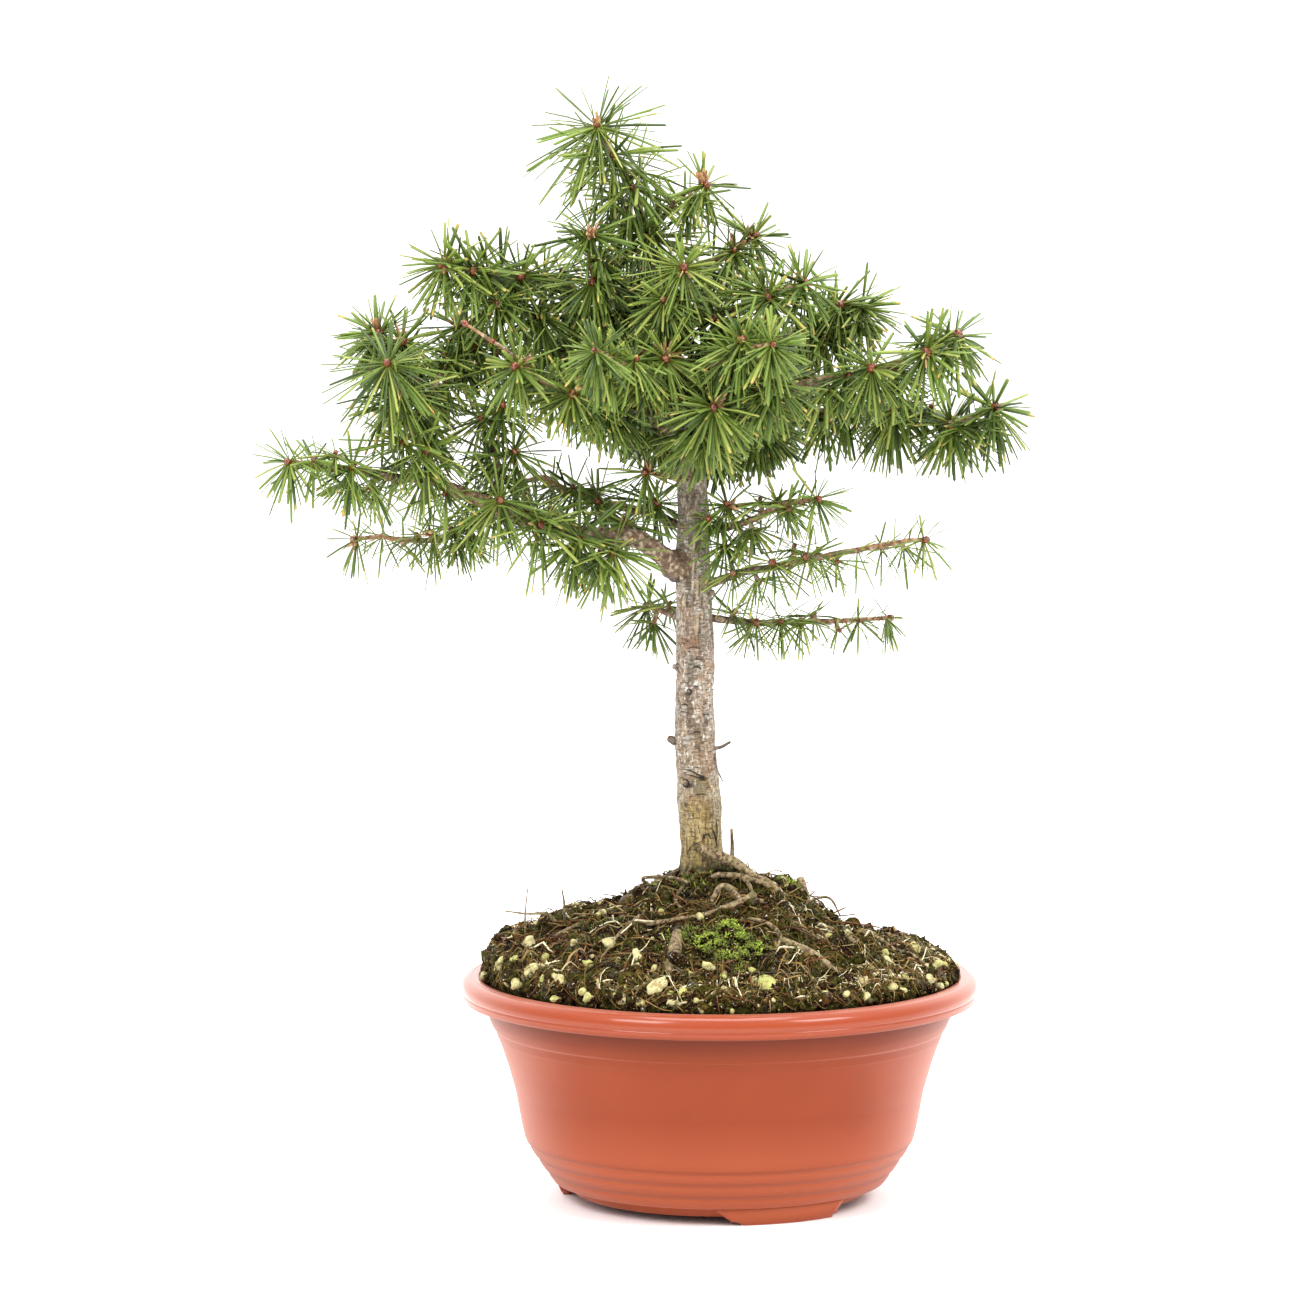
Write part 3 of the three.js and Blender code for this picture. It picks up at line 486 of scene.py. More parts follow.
def make_piece(name: str, skin: Skin, finish: Material, slot: str, *nodes: str) -> None:
    """Puts a skin into the scene as a piece of the object, which rides on its one body.

    Args:
        name: The piece's name.
        skin: Its surface, in millimetres about the bowl's axis.
        finish: Its material.
        slot: The name of a material slot of the record; not used.
        nodes: The solids that it stands for.
    """
    mesh = bpy.data.meshes.new(name)
    corners = skin.corners * MM + AXIS_PLACE
    mesh.vertices.add(len(corners))
    mesh.vertices.foreach_set("co", corners.astype(np.float32).ravel())
    loops = np.concatenate([face.ravel() for face in skin.faces]).astype(np.int32)
    totals = np.concatenate([np.full(len(face), face.shape[1]) for face in skin.faces])
    starts = np.concatenate([[0], np.cumsum(totals)[:-1]]).astype(np.int32)
    mesh.loops.add(len(loops))
    mesh.loops.foreach_set("vertex_index", loops)
    mesh.polygons.add(len(totals))
    mesh.polygons.foreach_set("loop_start", starts)
    mesh.polygons.foreach_set("use_smooth", np.ones(len(totals), bool))
    for mark, values in skin.marks.items():
        layer = mesh.attributes.new(mark, "FLOAT", "POINT")
        layer.data.foreach_set("value", values.astype(np.float32))
    mesh.update(calc_edges=True)
    mesh.validate()
    mesh.materials.append(finish)
    piece = in_scene(name, mesh)
    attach(piece, "root")
    if nodes:
        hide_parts(*nodes)
    triangles = int((totals - 2).sum())
    Tally.triangles += triangles
    log.info("%s: %d triangles", name, triangles)


# ---- Shader maths ----


def srgb(red: int, green: int, blue: int) -> Colour:
    """A colour given in screen values from 0 to 255, as linear light."""
    shares = np.array([red, green, blue]) / 255
    return tuple(np.where(shares <= 0.04045, shares / 12.92, ((shares + 0.055) / 1.055) ** 2.4))


class Value:
    """A number that varies over a surface. Arithmetic on it adds Math nodes."""

    def __init__(self, recipe: "Recipe", socket: Socket) -> None:
        """Wraps the socket that gives the number."""
        self.recipe, self.socket = recipe, socket

    def maths(self, operation: str, *values: "Value | float") -> "Value":
        """The result of a Math node with an operation and its inputs in order."""
        return self.recipe.value("Math", {"operation": operation}, dict(enumerate(values)))

    def __add__(self, other: "Value | float") -> "Value":
        """The sum."""
        return self.maths("ADD", self, other)

    def __sub__(self, other: "Value | float") -> "Value":
        """The difference."""
        return self.maths("SUBTRACT", self, other)

    def __rsub__(self, other: float) -> "Value":
        """The difference from a plain number."""
        return self.maths("SUBTRACT", other, self)

    def __mul__(self, other: "Value | float") -> "Value":
        """The product."""
        return self.maths("MULTIPLY", self, other)

    __radd__, __rmul__ = __add__, __mul__

    def over(self, low: float, high: float) -> "Value":
        """Nothing below low and one above high, with a smooth rise between."""
        inputs = {"Value": self, "From Min": low, "From Max": high}
        return self.recipe.value("MapRange", {"interpolation_type": "SMOOTHSTEP"}, inputs)


class Recipe:
    """The nodes of one material."""

    def __init__(self, name: str) -> None:
        """Starts an empty material."""
        self.material = bpy.data.materials.new(name)
        self.start(self.material)

    def start(self, owner: Material | bpy.types.World) -> None:
        """Clears the nodes that this recipe fills.

        Args:
            owner: The material or world that they belong to.
        """
        owner.use_nodes = True
        self.tree = owner.node_tree
        self.tree.nodes.clear()

    def node(self, kind: str, settings: dict, inputs: dict) -> bpy.types.Node:
        """Adds a node.

        Args:
            kind: The node's type, without the words that all shader nodes start with.
            settings: Its settings, which are set before its inputs.
            inputs: Values, sockets or numbers by the name or number of the input.

        Returns:
            The node.
        """
        made = self.tree.nodes.new("ShaderNode" + kind)
        for setting, choice in settings.items():
            setattr(made, setting, choice)
        for key, given in inputs.items():
            given = given.socket if isinstance(given, Value) else given
            if isinstance(given, Socket):
                self.tree.links.new(given, made.inputs[key])
            elif isinstance(given, tuple) and made.inputs[key].type == "RGBA":
                made.inputs[key].default_value = (*given, 1)
            else:
                made.inputs[key].default_value = given
        return made

    def value(self, kind: str, settings: dict, inputs: dict, output: int | str = 0) -> Value:
        """Adds a node as node does, and gives the value at one of its outputs."""
        return Value(self, self.node(kind, settings, inputs).outputs[output])

    def mark(self, name: str) -> Value:
        """The mark that the mesh carries under a name."""
        return self.value("Attribute", {"attribute_name": name}, {}, "Fac")

    def place(self, stretch: Stretch) -> Socket:
        """Places in the piece's own metres, stretched along the three axes."""
        coordinates = self.node("TexCoord", {}, {}).outputs["Object"]
        return self.node("Mapping", {}, {"Vector": coordinates, "Scale": stretch}).outputs[0]

    def noise(self, size: float, stretch: Stretch = (1, 1, 1), detail: float = 3) -> Value:
        """Cloudy noise: size of its patches in millimetres, fineness along the axes, layers."""
        inputs = {"Vector": self.place(stretch), "Scale": 1 / (size * MM), "Detail": detail}
        return self.value("TexNoise", {}, inputs)

    def cells(self, size: float) -> Value:
        """Distance from the middle of the nearest of scattered cells of a size in millimetres."""
        inputs = {"Vector": self.place((1, 1, 1)), "Scale": 1 / (size * MM)}
        return self.value("TexVoronoi", {}, inputs, "Distance")

    def edge(self) -> Value:
        """Nothing where the surface is seen squarely and one where it turns away."""
        return self.value("LayerWeight", {}, {"Blend": 0.5}, "Facing")

    def layers(self, base: Colour | Socket, *covers: tuple[Value, Colour | Socket]) -> Socket:
        """Colours laid over a base.

        Args:
            base: The lowest colour.
            covers: Pairs of how far a colour hides what lies below it, and that colour.

        Returns:
            The colour that they give together.
        """
        for share, colour in covers:
            inputs = {0: share, 6: base, 7: colour}
            base = self.node("Mix", {"data_type": "RGBA"}, inputs).outputs[2]
        return base

    def finish(
        self,
        colour: Colour | Socket,
        roughness: Value | float,
        height: Value | None = None,
        depth: float = 0.0,
        **others: Value | float,
    ) -> Material:
        """Ends the material.

        Args:
            colour: Base colour.
            roughness: Roughness.
            height: Relief from nothing to one, or None.
            depth: What one of that relief is worth, in millimetres.
            others: Other inputs of the shader, with underscores for spaces.

        Returns:
            The material.
        """
        inputs = {"Base Color": colour, "Roughness": roughness}
        inputs.update({name.replace("_", " "): given for name, given in others.items()})
        if height is not None:
            relief = {"Height": height, "Distance": depth * MM, "Strength": 1.0}
            inputs["Normal"] = self.node("Bump", {}, relief).outputs[0]
        shader = self.node("BsdfPrincipled", {}, inputs)
        self.node("OutputMaterial", {}, {"Surface": shader.outputs[0]})
        return self.material


# ---- Finishes ----


@dataclass(frozen=True)
class MouldedPlastic:
    """The bowl's satin terracotta-coloured plastic."""

    body: Colour = srgb(131, 56, 28)
    deep: Colour = srgb(120, 49, 25)
    speck: Colour = srgb(74, 33, 20)
    # Painted shade: the dark colour laid under the lip and in the creases between the steps.
    lee: Colour = srgb(66, 23, 11)
    # Painted fill light: the lighter colour of the bowl's lower part, standing in for light that
    # falls there.
    low: Colour = srgb(157, 78, 50)
    lip: Colour = srgb(136, 53, 20)
    # Painted sheen: a lighter colour where the surface turns away, standing in for reflected light.
    painted_sheen: Colour = srgb(168, 104, 86)

    def material(self) -> Material:
        """The plastic: cloudy, finely grained, with a glossier lip, painted shade under the lip and
        in the steps' creases, a lower part painted lighter as fill light, and a painted sheen where
        the surface turns away.

        Returns:
            The material.
        """
        recipe = Recipe("moulded_plastic")
        lip = recipe.mark("lip")
        specks = (1 - recipe.cells(9).over(0.025, 0.05)) * recipe.noise(20).over(0.52, 0.6)
        colour = recipe.layers(
            self.body,
            (recipe.noise(60, detail=2).over(0.35, 0.7) * 0.45, self.deep),
            # Painted fill light: the lower part made lighter.
            (recipe.mark("low"), self.low),
            (lip, self.lip),
            # Painted sheen where the surface turns away from the view.
            (recipe.edge().over(0.3, 0.95) * 0.9, self.painted_sheen),
            (specks * 0.7, self.speck),
            # Painted shade under the lip and in the creases between the steps.
            (recipe.mark("lee") * 0.75, self.lee),
        )
        roughness = 0.44 - lip * 0.1 + recipe.noise(5, detail=4) * 0.05
        others = {"Coat_Weight": lip * 0.5, "Coat_Roughness": 0.12, "Specular_IOR_Level": 0.15}
        return recipe.finish(colour, roughness, recipe.noise(0.8, detail=2), 0.012, **others)


@dataclass(frozen=True)
class Bark:
    """Smooth pale bark with brown bands low and wide, and a stained cracked foot."""

    pale: Colour = srgb(163, 151, 136)
    bright: Colour = srgb(206, 200, 190)
    beige: Colour = srgb(144, 121, 99)
    grey: Colour = srgb(82, 72, 54)
    brown: Colour = srgb(78, 58, 42)
    rust: Colour = srgb(142, 98, 68)
    shred: Colour = srgb(186, 164, 130)
    algae: Colour = srgb(158, 136, 74)
    hollow: Colour = srgb(34, 24, 17)
    moss: Colour = srgb(34, 38, 15)

    def material(self) -> Material:
        """The bark, shaded, rusty, stained, shredded, hollow or mossy where its marks say so.

        Returns:
            The material.
        """
        recipe = Recipe("bark")
        mark, noise = recipe.mark, recipe.noise
        stain = mark("stain")
        bands = noise(5, (0.9, 0.9, 1.2), 4).over(0.42, 0.6)
        tufts = noise(1.7, (1.5, 1.5, 0.7), 5).over(0.5, 0.64)
        spots = noise(2.4, (1.3, 1.3, 0.8), 5).over(0.53, 0.63)
        fissures = noise(1.3, (1.9, 1.9, 0.6), 4).over(0.58, 0.64)
        lines = noise(1.7, (0.5, 0.5, 2.2), 4).over(0.58, 0.65)
        rings = noise(1.1, (0.35, 0.35, 1.9), 4).over(0.5, 0.6)
        blots = noise(6, (1.4, 1.4, 0.5), 4).over(0.44, 0.62)
        grain = noise(1.1, (0.8, 0.8, 1.2), 4)
        cracks = noise(2.0, (1.9, 1.9, 0.3), 4).over(0.52, 0.6)
        colour = recipe.layers(
            self.pale,
            (bands, self.beige),
            (tufts * 0.95, self.bright),
            (spots * 0.6, self.grey),
            ((mark("shade") * blots).over(0.0, 0.5) * 0.8, self.grey),
            (mark("rust") * 0.8, self.rust),
            (rings * 0.4, self.grey),
            (lines * 0.65, self.brown),
            (fissures * 0.6, self.brown),
            (stain * 0.75, self.algae),
            (stain * cracks * 0.75, self.brown),
            (stain * lines * 0.6, self.brown),
            (mark("shred") * 0.7, self.shred),
            (mark("hollow"), self.hollow),
            (mark("moss") * noise(3, detail=4).over(0.35, 0.55), self.moss),
        )
        height = grain * 0.4 + (1 - lines) * 0.4 + (1 - fissures) * 0.4 + tufts * 0.35
        height = height + (1 - rings) * 0.3 + (1 - cracks * stain) * 0.5
        return recipe.finish(colour, 0.62, height, 0.6, Specular_IOR_Level=0.35)


@dataclass(frozen=True)
class TwigBark:
    """Bark of branches and twigs, grey-brown near the trunk and tan towards the tips."""

    old: Colour = srgb(104, 84, 66)
    young: Colour = srgb(140, 106, 72)
    dark: Colour = srgb(58, 42, 31)
    pale: Colour = srgb(164, 148, 126)

    def material(self) -> Material:
        """The bark, with dark and pale streaks.

        Returns:
            The material.
        """
        recipe = Recipe("twig_bark")
        streaks = recipe.noise(2.2, detail=4)
        colour = recipe.layers(
            self.old,
            (recipe.mark("along").over(0.1, 0.9), self.young),
            (streaks.over(0.5, 0.66) * 0.75, self.dark),
            (1 - streaks.over(0.34, 0.5), self.pale),
        )
        return recipe.finish(colour, 0.75, streaks, 0.4, Specular_IOR_Level=0.3)


@dataclass(frozen=True)
class NeedleLeaf:
    """Soft flat needles, fresh green, with a share of yellowed and burnt tips."""

    deep: Colour = srgb(42, 64, 22)
    fresh: Colour = srgb(96, 119, 42)
    light: Colour = srgb(157, 163, 80)
    yellow: Colour = srgb(182, 164, 84)
    burnt: Colour = srgb(160, 108, 68)

    def material(self) -> Material:
        """The needles. Tone picks a needle's green and age how far its tip has turned.

        Returns:
            The material.
        """
        recipe = Recipe("needle_leaf")
        tone, age, along = (recipe.mark(name) for name in ("tone", "age", "along"))
        colour = recipe.layers(
            self.deep,
            (tone.over(0.05, 0.6), self.fresh),
            (tone.over(0.55, 1.0) * 0.65, self.light),
            # Lighter towards the needle's edges than on its keel: its own pale bands, and painted
            # shading of its fold.
            ((1 - recipe.mark("keel").over(0.0, 0.5)) * 0.3, self.light),
            ((1 - along.over(0.0, 0.16)) * 0.6, self.light),
            ((along + age * 0.4).over(1.12, 1.36) * 0.85, self.yellow),
            ((along + age * 0.3).over(1.19, 1.28) * 0.8, self.burnt),
        )
        return recipe.finish(colour, 0.42, Specular_IOR_Level=0.32)


@dataclass(frozen=True)
class BudScale:
    """Glossy red-brown scales of a bud."""

    tip: Colour = srgb(150, 74, 34)
    base: Colour = srgb(84, 36, 16)
    # Painted highlight: the paler colour laid in patches over the scales.
    painted_highlight: Colour = srgb(176, 112, 72)

    def material(self) -> Material:
        """The bud with overlapping scales.

        Returns:
            The material.
        """
        recipe = Recipe("bud_scale")
        scales = recipe.cells(1.1)
        # Painted highlights in paler patches.
        painted_highlight = recipe.noise(2.5).over(0.58, 0.7) * 0.6
        colour = recipe.layers(self.tip, (scales.over(0.1, 0.6), self.base), (painted_highlight, self.painted_highlight))
        return recipe.finish(colour, 0.24, 1 - scales, 0.2, Specular_IOR_Level=0.6)


@dataclass(frozen=True)
class PaperyScale:
    """Dry brown papery scales and dead needles."""

    tan: Colour = srgb(208, 170, 124)
    brown: Colour = srgb(150, 98, 62)
    dark: Colour = srgb(92, 56, 36)

    def material(self) -> Material:
        """The scales, darker where their tone is low.

        Returns:
            The material.
        """
        recipe = Recipe("papery_scale")
        dark = recipe.noise(1.5).over(0.5, 0.7) * 0.5
        colour = recipe.layers(self.brown, (recipe.mark("tone"), self.tan), (dark, self.dark))
        return recipe.finish(colour, 0.7, recipe.noise(0.7), 0.15)


@dataclass(frozen=True)
class Earth:
    """Dark fibrous substrate with an uneven film of algae and moss."""

    peat: Colour = srgb(18, 10, 6)
    crumb: Colour = srgb(66, 44, 21)
    bark: Colour = srgb(112, 82, 42)
    film: Colour = srgb(58, 59, 17)
    straw: Colour = srgb(190, 172, 120)
    # Painted glints: the near-white colour of small specks that stand in for wet highlights.
    painted_glint: Colour = srgb(222, 216, 190)

    def material(self) -> Material:
        """The substrate: near black in the gaps of its noise and lighter on its crumbs, and darker
        where the tone mark is low, which on the mound's body is painted shade in its creases.

        Returns:
            The material.
        """
        recipe = Recipe("earth")
        noise, tone = recipe.noise, recipe.mark("tone")
        crumbs = noise(1.3, detail=5)
        green = noise(14).over(0.41, 0.55) * noise(2.0, detail=4).over(0.42, 0.58)
        # Painted glints: small near-white specks on the lighter toned parts, standing in for wet
        # highlights.
        painted_glints = noise(1.2, detail=2).over(0.69, 0.72) * tone.over(0.1, 0.3)
        colour = recipe.layers(
            self.peat,
            (crumbs.over(0.43, 0.62) * (tone * 0.75 + 0.25), self.crumb),
            ((tone * noise(1.8, detail=4)).over(0.38, 0.62) * 0.75, self.bark),
            (green * 0.85, self.film),
            (noise(0.9, (0.7, 1.6, 1)).over(0.66, 0.72) * 0.7, self.straw),
            (painted_glints * 0.9, self.painted_glint),
        )
        wet = noise(7, detail=4).over(0.54, 0.64) * tone * 0.6
        others = {"Coat_Weight": wet, "Coat_Roughness": 0.09, "Specular_IOR_Level": 0.05}
        return recipe.finish(colour, 0.92, crumbs, 1.2, **others)


@dataclass(frozen=True)
class Granule:
    """Pale pumice, cream to yellow-green, with pits and a trace of algae."""

    cream: Colour = srgb(190, 180, 134)
    lime: Colour = srgb(164, 166, 94)
    stain: Colour = srgb(136, 120, 70)
    soil: Colour = srgb(60, 48, 30)

    def material(self) -> Material:
        """The granules, greener where their tone is high, pitted, and dirty in patches.

        Returns:
            The material.
        """
        recipe = Recipe("granule")
        pits = recipe.cells(1.0)
        colour = recipe.layers(
            self.cream,
            (recipe.mark("tone"), self.lime),
            (recipe.noise(2.6, detail=4).over(0.46, 0.66) * 0.85, self.stain),
            (recipe.noise(4.5, detail=5).over(0.58, 0.68) * 0.8, self.soil),
            ((1 - pits.over(0.06, 0.24)) * 0.5, self.soil),
        )
        relief = pits + recipe.noise(0.8) * 0.7
        return recipe.finish(colour, 0.75, relief, 0.5, Specular_IOR_Level=0.3)


@dataclass(frozen=True)
class Fibre:
    """Fine roots, straws and dead needles on the substrate."""

    dark: Colour = srgb(24, 16, 8)
    brown: Colour = srgb(104, 66, 35)
    olive: Colour = srgb(82, 74, 25)
    tan: Colour = srgb(142, 114, 66)
    straw: Colour = srgb(230, 220, 182)
    dirt: Colour = srgb(46, 34, 16)

    def material(self) -> Material:
        """The fibres. Tone runs from dark brown by olive brown and tan to pale straw.

        Returns:
            The material.
        """
        recipe = Recipe("fibre")
        tone = recipe.mark("tone")
        colour = recipe.layers(
            self.dark,
            (tone.over(0.0, 0.25), self.brown),
            (tone.over(0.29, 0.42), self.olive),
            (tone.over(0.66, 0.86), self.tan),
            (tone.over(0.9, 0.96), self.straw),
            (recipe.noise(2).over(0.5, 0.66) * 0.5, self.dirt),
        )
        wet = recipe.noise(5).over(0.5, 0.62) * 0.7
        others = {"Coat_Weight": wet, "Coat_Roughness": 0.12, "Specular_IOR_Level": 0.12}
        return recipe.finish(colour, 0.6, recipe.noise(1.0), 0.3, **others)


@dataclass(frozen=True)
class RootBark:
    """Grey-tan bark of the surface roots, wrinkled, with paler patches painted as highlights."""

    dark: Colour = srgb(92, 74, 52)
    light: Colour = srgb(140, 122, 90)
    crease: Colour = srgb(54, 40, 27)
    # Painted highlight: the paler colour laid in patches.
    painted_highlight: Colour = srgb(172, 156, 124)
    film: Colour = srgb(84, 82, 40)

    def material(self) -> Material:
        """The bark. Tone picks darker or paler grey-tan.

        Returns:
            The material.
        """
        recipe = Recipe("root_bark")
        wrinkles = recipe.noise(1.6, detail=5)
        colour = recipe.layers(
            self.dark,
            (recipe.mark("tone"), self.light),
            (wrinkles.over(0.5, 0.62) * 0.85, self.crease),
            # Painted highlights in paler patches.
            ((1 - wrinkles.over(0.32, 0.45)) * 0.6, self.painted_highlight),
            (recipe.noise(7).over(0.5, 0.62) * 0.45, self.film),
        )
        return recipe.finish(colour, 0.8, wrinkles, 0.7, Specular_IOR_Level=0.25)


@dataclass(frozen=True)
class MossLeaf:
    """Moss, from dark in the dips to bright green at the leaf tips."""

    shade: Colour = srgb(7, 14, 2)
    bright: Colour = srgb(164, 186, 60)
    film_shade: Colour = srgb(12, 14, 5)
    film: Colour = srgb(60, 62, 24)
    dry: Colour = srgb(86, 74, 32)

    def material(self) -> Material:
        """The moss. Tone picks the bright cushion or the dark film.

        Returns:
            The material.
        """
        recipe = Recipe("moss_leaf")
        along = recipe.mark("along")
        bright = recipe.layers(self.shade, (along.over(0.2, 0.85), self.bright))
        film = recipe.layers(self.film_shade, (along, self.film))
        dry = recipe.noise(3.2).over(0.5, 0.62) * 0.55
        colour = recipe.layers(film, (recipe.mark("tone"), bright), (dry, self.dry))
        return recipe.finish(colour, 0.65, Specular_IOR_Level=0.3)


@dataclass(frozen=True)
class FloorPaper:
    """The plain pale floor of the studio."""

    grey: float = 0.93

    def material(self) -> Material:
        """The floor."""
        return Recipe("floor_paper").finish((self.grey,) * 3, 0.9, Specular_IOR_Level=0.1)


# ---- The bowl ----


@dataclass
class Bowl:
    """The moulded bowl: drainage hole, ringed base, three rounded steps, wall and rolled lip."""

    segments: int = 132
    fillet: float = 0.7
    # The profile as (radius, height), up the outside and down the inside.
    outside: tuple = (
        (8, 5), (58, 5), (59.5, 3.2), (62.5, 2.7), (65.5, 3.4), (66.4, 7.6), (73.6, 8.0),
        (76.2, 11.4), (76.4, 12.6), (78.2, 14.2), (80.6, 17.6), (80.8, 18.9), (82.6, 20.6),
        (84.5, 23.6), (84.7, 24.8), (86.3, 26.6), (87.4, 30.3), (88.3, 34.4), (91, 48.9),
        (94.4, 61.1), (96.7, 67.9), (98.5, 72.6), (98.9, 73.3), (100.1, 77), (100.9, 77.6),
        (102.6, 81.4), (104.2, 86), (104.9, 88.6), (108, 89.6), (113.6, 89.6), (114.6, 90.6),
        (114.9, 92.7), (114.5, 93.2), (115, 93.8), (115, 96), (114.2, 98.2), (112.4, 99.8),
        (110.4, 100.4), (110, 100.1), (109.6, 100.4), (107.4, 100.5),
    )
    inside: tuple = (
        (106.2, 99.6), (104.6, 95), (93.2, 66), (85, 38), (72, 12), (68, 8.4), (8, 8.2),
    )
    feet: tuple = (-62.9, 48.3, 159.5)
    foot_half: float = 17.6
    foot_inner: float = 66.5
    # Levels of a foot: height, outer radius, and degrees by which its two ends reach further.
    foot_levels: tuple = (
        (0.0, 69.6, 1.5, 0.0), (0.4, 70.0, 1.5, 0.0), (1.3, 70.4, 1.6, 0.1), (1.8, 70.7, 5.5, 1.5),
        (8.6, 73.3, 12.7, 4.0),
    )
    creases: tuple = (13.9, 20.2, 26.2)
    # The wall lies outside this slope: radius gained for one of height.
    wall_slope: float = 0.27

    def softened(self) -> Array:
        """The closed profile with its corners rounded.

        Each corner gives way to a parabola that starts and ends a fillet away from it, or
        under half of the side away where a side is short.

        Returns:
            Its points as (radius, height).
        """
        corners = np.array(self.outside + self.inside, float)
        ends = []
        for roll in (1, -1):
            side = np.roll(corners, roll, axis=0) - corners
            span = np.minimum(self.fillet, 0.42 * np.linalg.norm(side, axis=1))[:, None]
            ends.append((corners + unit(side) * span)[:, None])
        t = np.array([0, 0.5, 1])[None, :, None]
        curve = (1 - t) ** 2 * ends[0] + 2 * t * (1 - t) * corners[:, None] + t**2 * ends[1]
        return curve.reshape(-1, 2)

    def shell(self) -> Skin:
        """The profile turned about the upright axis.

        Returns:
            Its skin.
        """
        profile = self.softened()
        angle = np.linspace(0, FULL_TURN, self.segments, endpoint=False)
        rings = turned(profile[:, :1], angle, profile[:, 1:])
        return Skin(rings.reshape(-1, 3), [ring_quads(len(profile), self.segments, True)])

    def foot(self, middle: float) -> Skin:
        """One foot: its section carried round the axis, between ends that slope out upwards.

        Args:
            middle: Degrees round the axis at which it stands.

        Returns:
            Its skin.
        """
        height, radius, near, far = np.array(self.foot_levels).T
        start, end = middle - self.foot_half - near, middle + self.foot_half + far
        angle = np.radians(start + (end - start) * np.linspace(0, 1, 24)[:, None])
        outer, inner = turned(radius, angle, height), turned(self.foot_inner, angle, height)
        rings = np.concatenate([outer[:, ::-1], inner], axis=1)
        return ringed(rings[None], rings[None, 0].mean(axis=1), rings[None, -1].mean(axis=1))

    def build(self) -> None:
        """Makes the bowl, with marks for its lip, for its low part, painted lighter as fill light,
        and for the painted shade under the lip and in the steps' creases.
        """
        bowl = merged([self.shell(), *(self.foot(middle) for middle in self.feet)])
        x, y, height = bowl.corners.T
        reach, slope = np.hypot(x, y), self.wall_slope * height
        # Painted shade: darker on the wall under the lip, on the lip's underside and in the steps'
        # creases.
        wall = np.interp(height, (70, 80, 86.5, 89.8, 90.2), (0, 0.25, 0.7, 1, 0))
        under = np.interp(height, (89.4, 89.7, 90.4, 90.8), (0, 1, 1, 0))
        lee = np.maximum(wall * (reach > slope + 77), under * (reach < 113.8) * (reach > 104))
        for level in self.creases:
            lee = np.maximum(lee, 0.42 * bell(height, level, 1.0) * (reach > slope + 68))
        # Painted fill light: full on the lowest part, falling to nothing partway up the wall.
        low = np.interp(height, (12, 24, 46), (1, 0.8, 0))
        bowl.marked(lip=np.clip((height - 90) / 2, 0, 1), lee=lee, low=low)
        make_piece("bowl", bowl, MouldedPlastic().material(), "bowl_plastic", "pot")


# ---- The mound ----


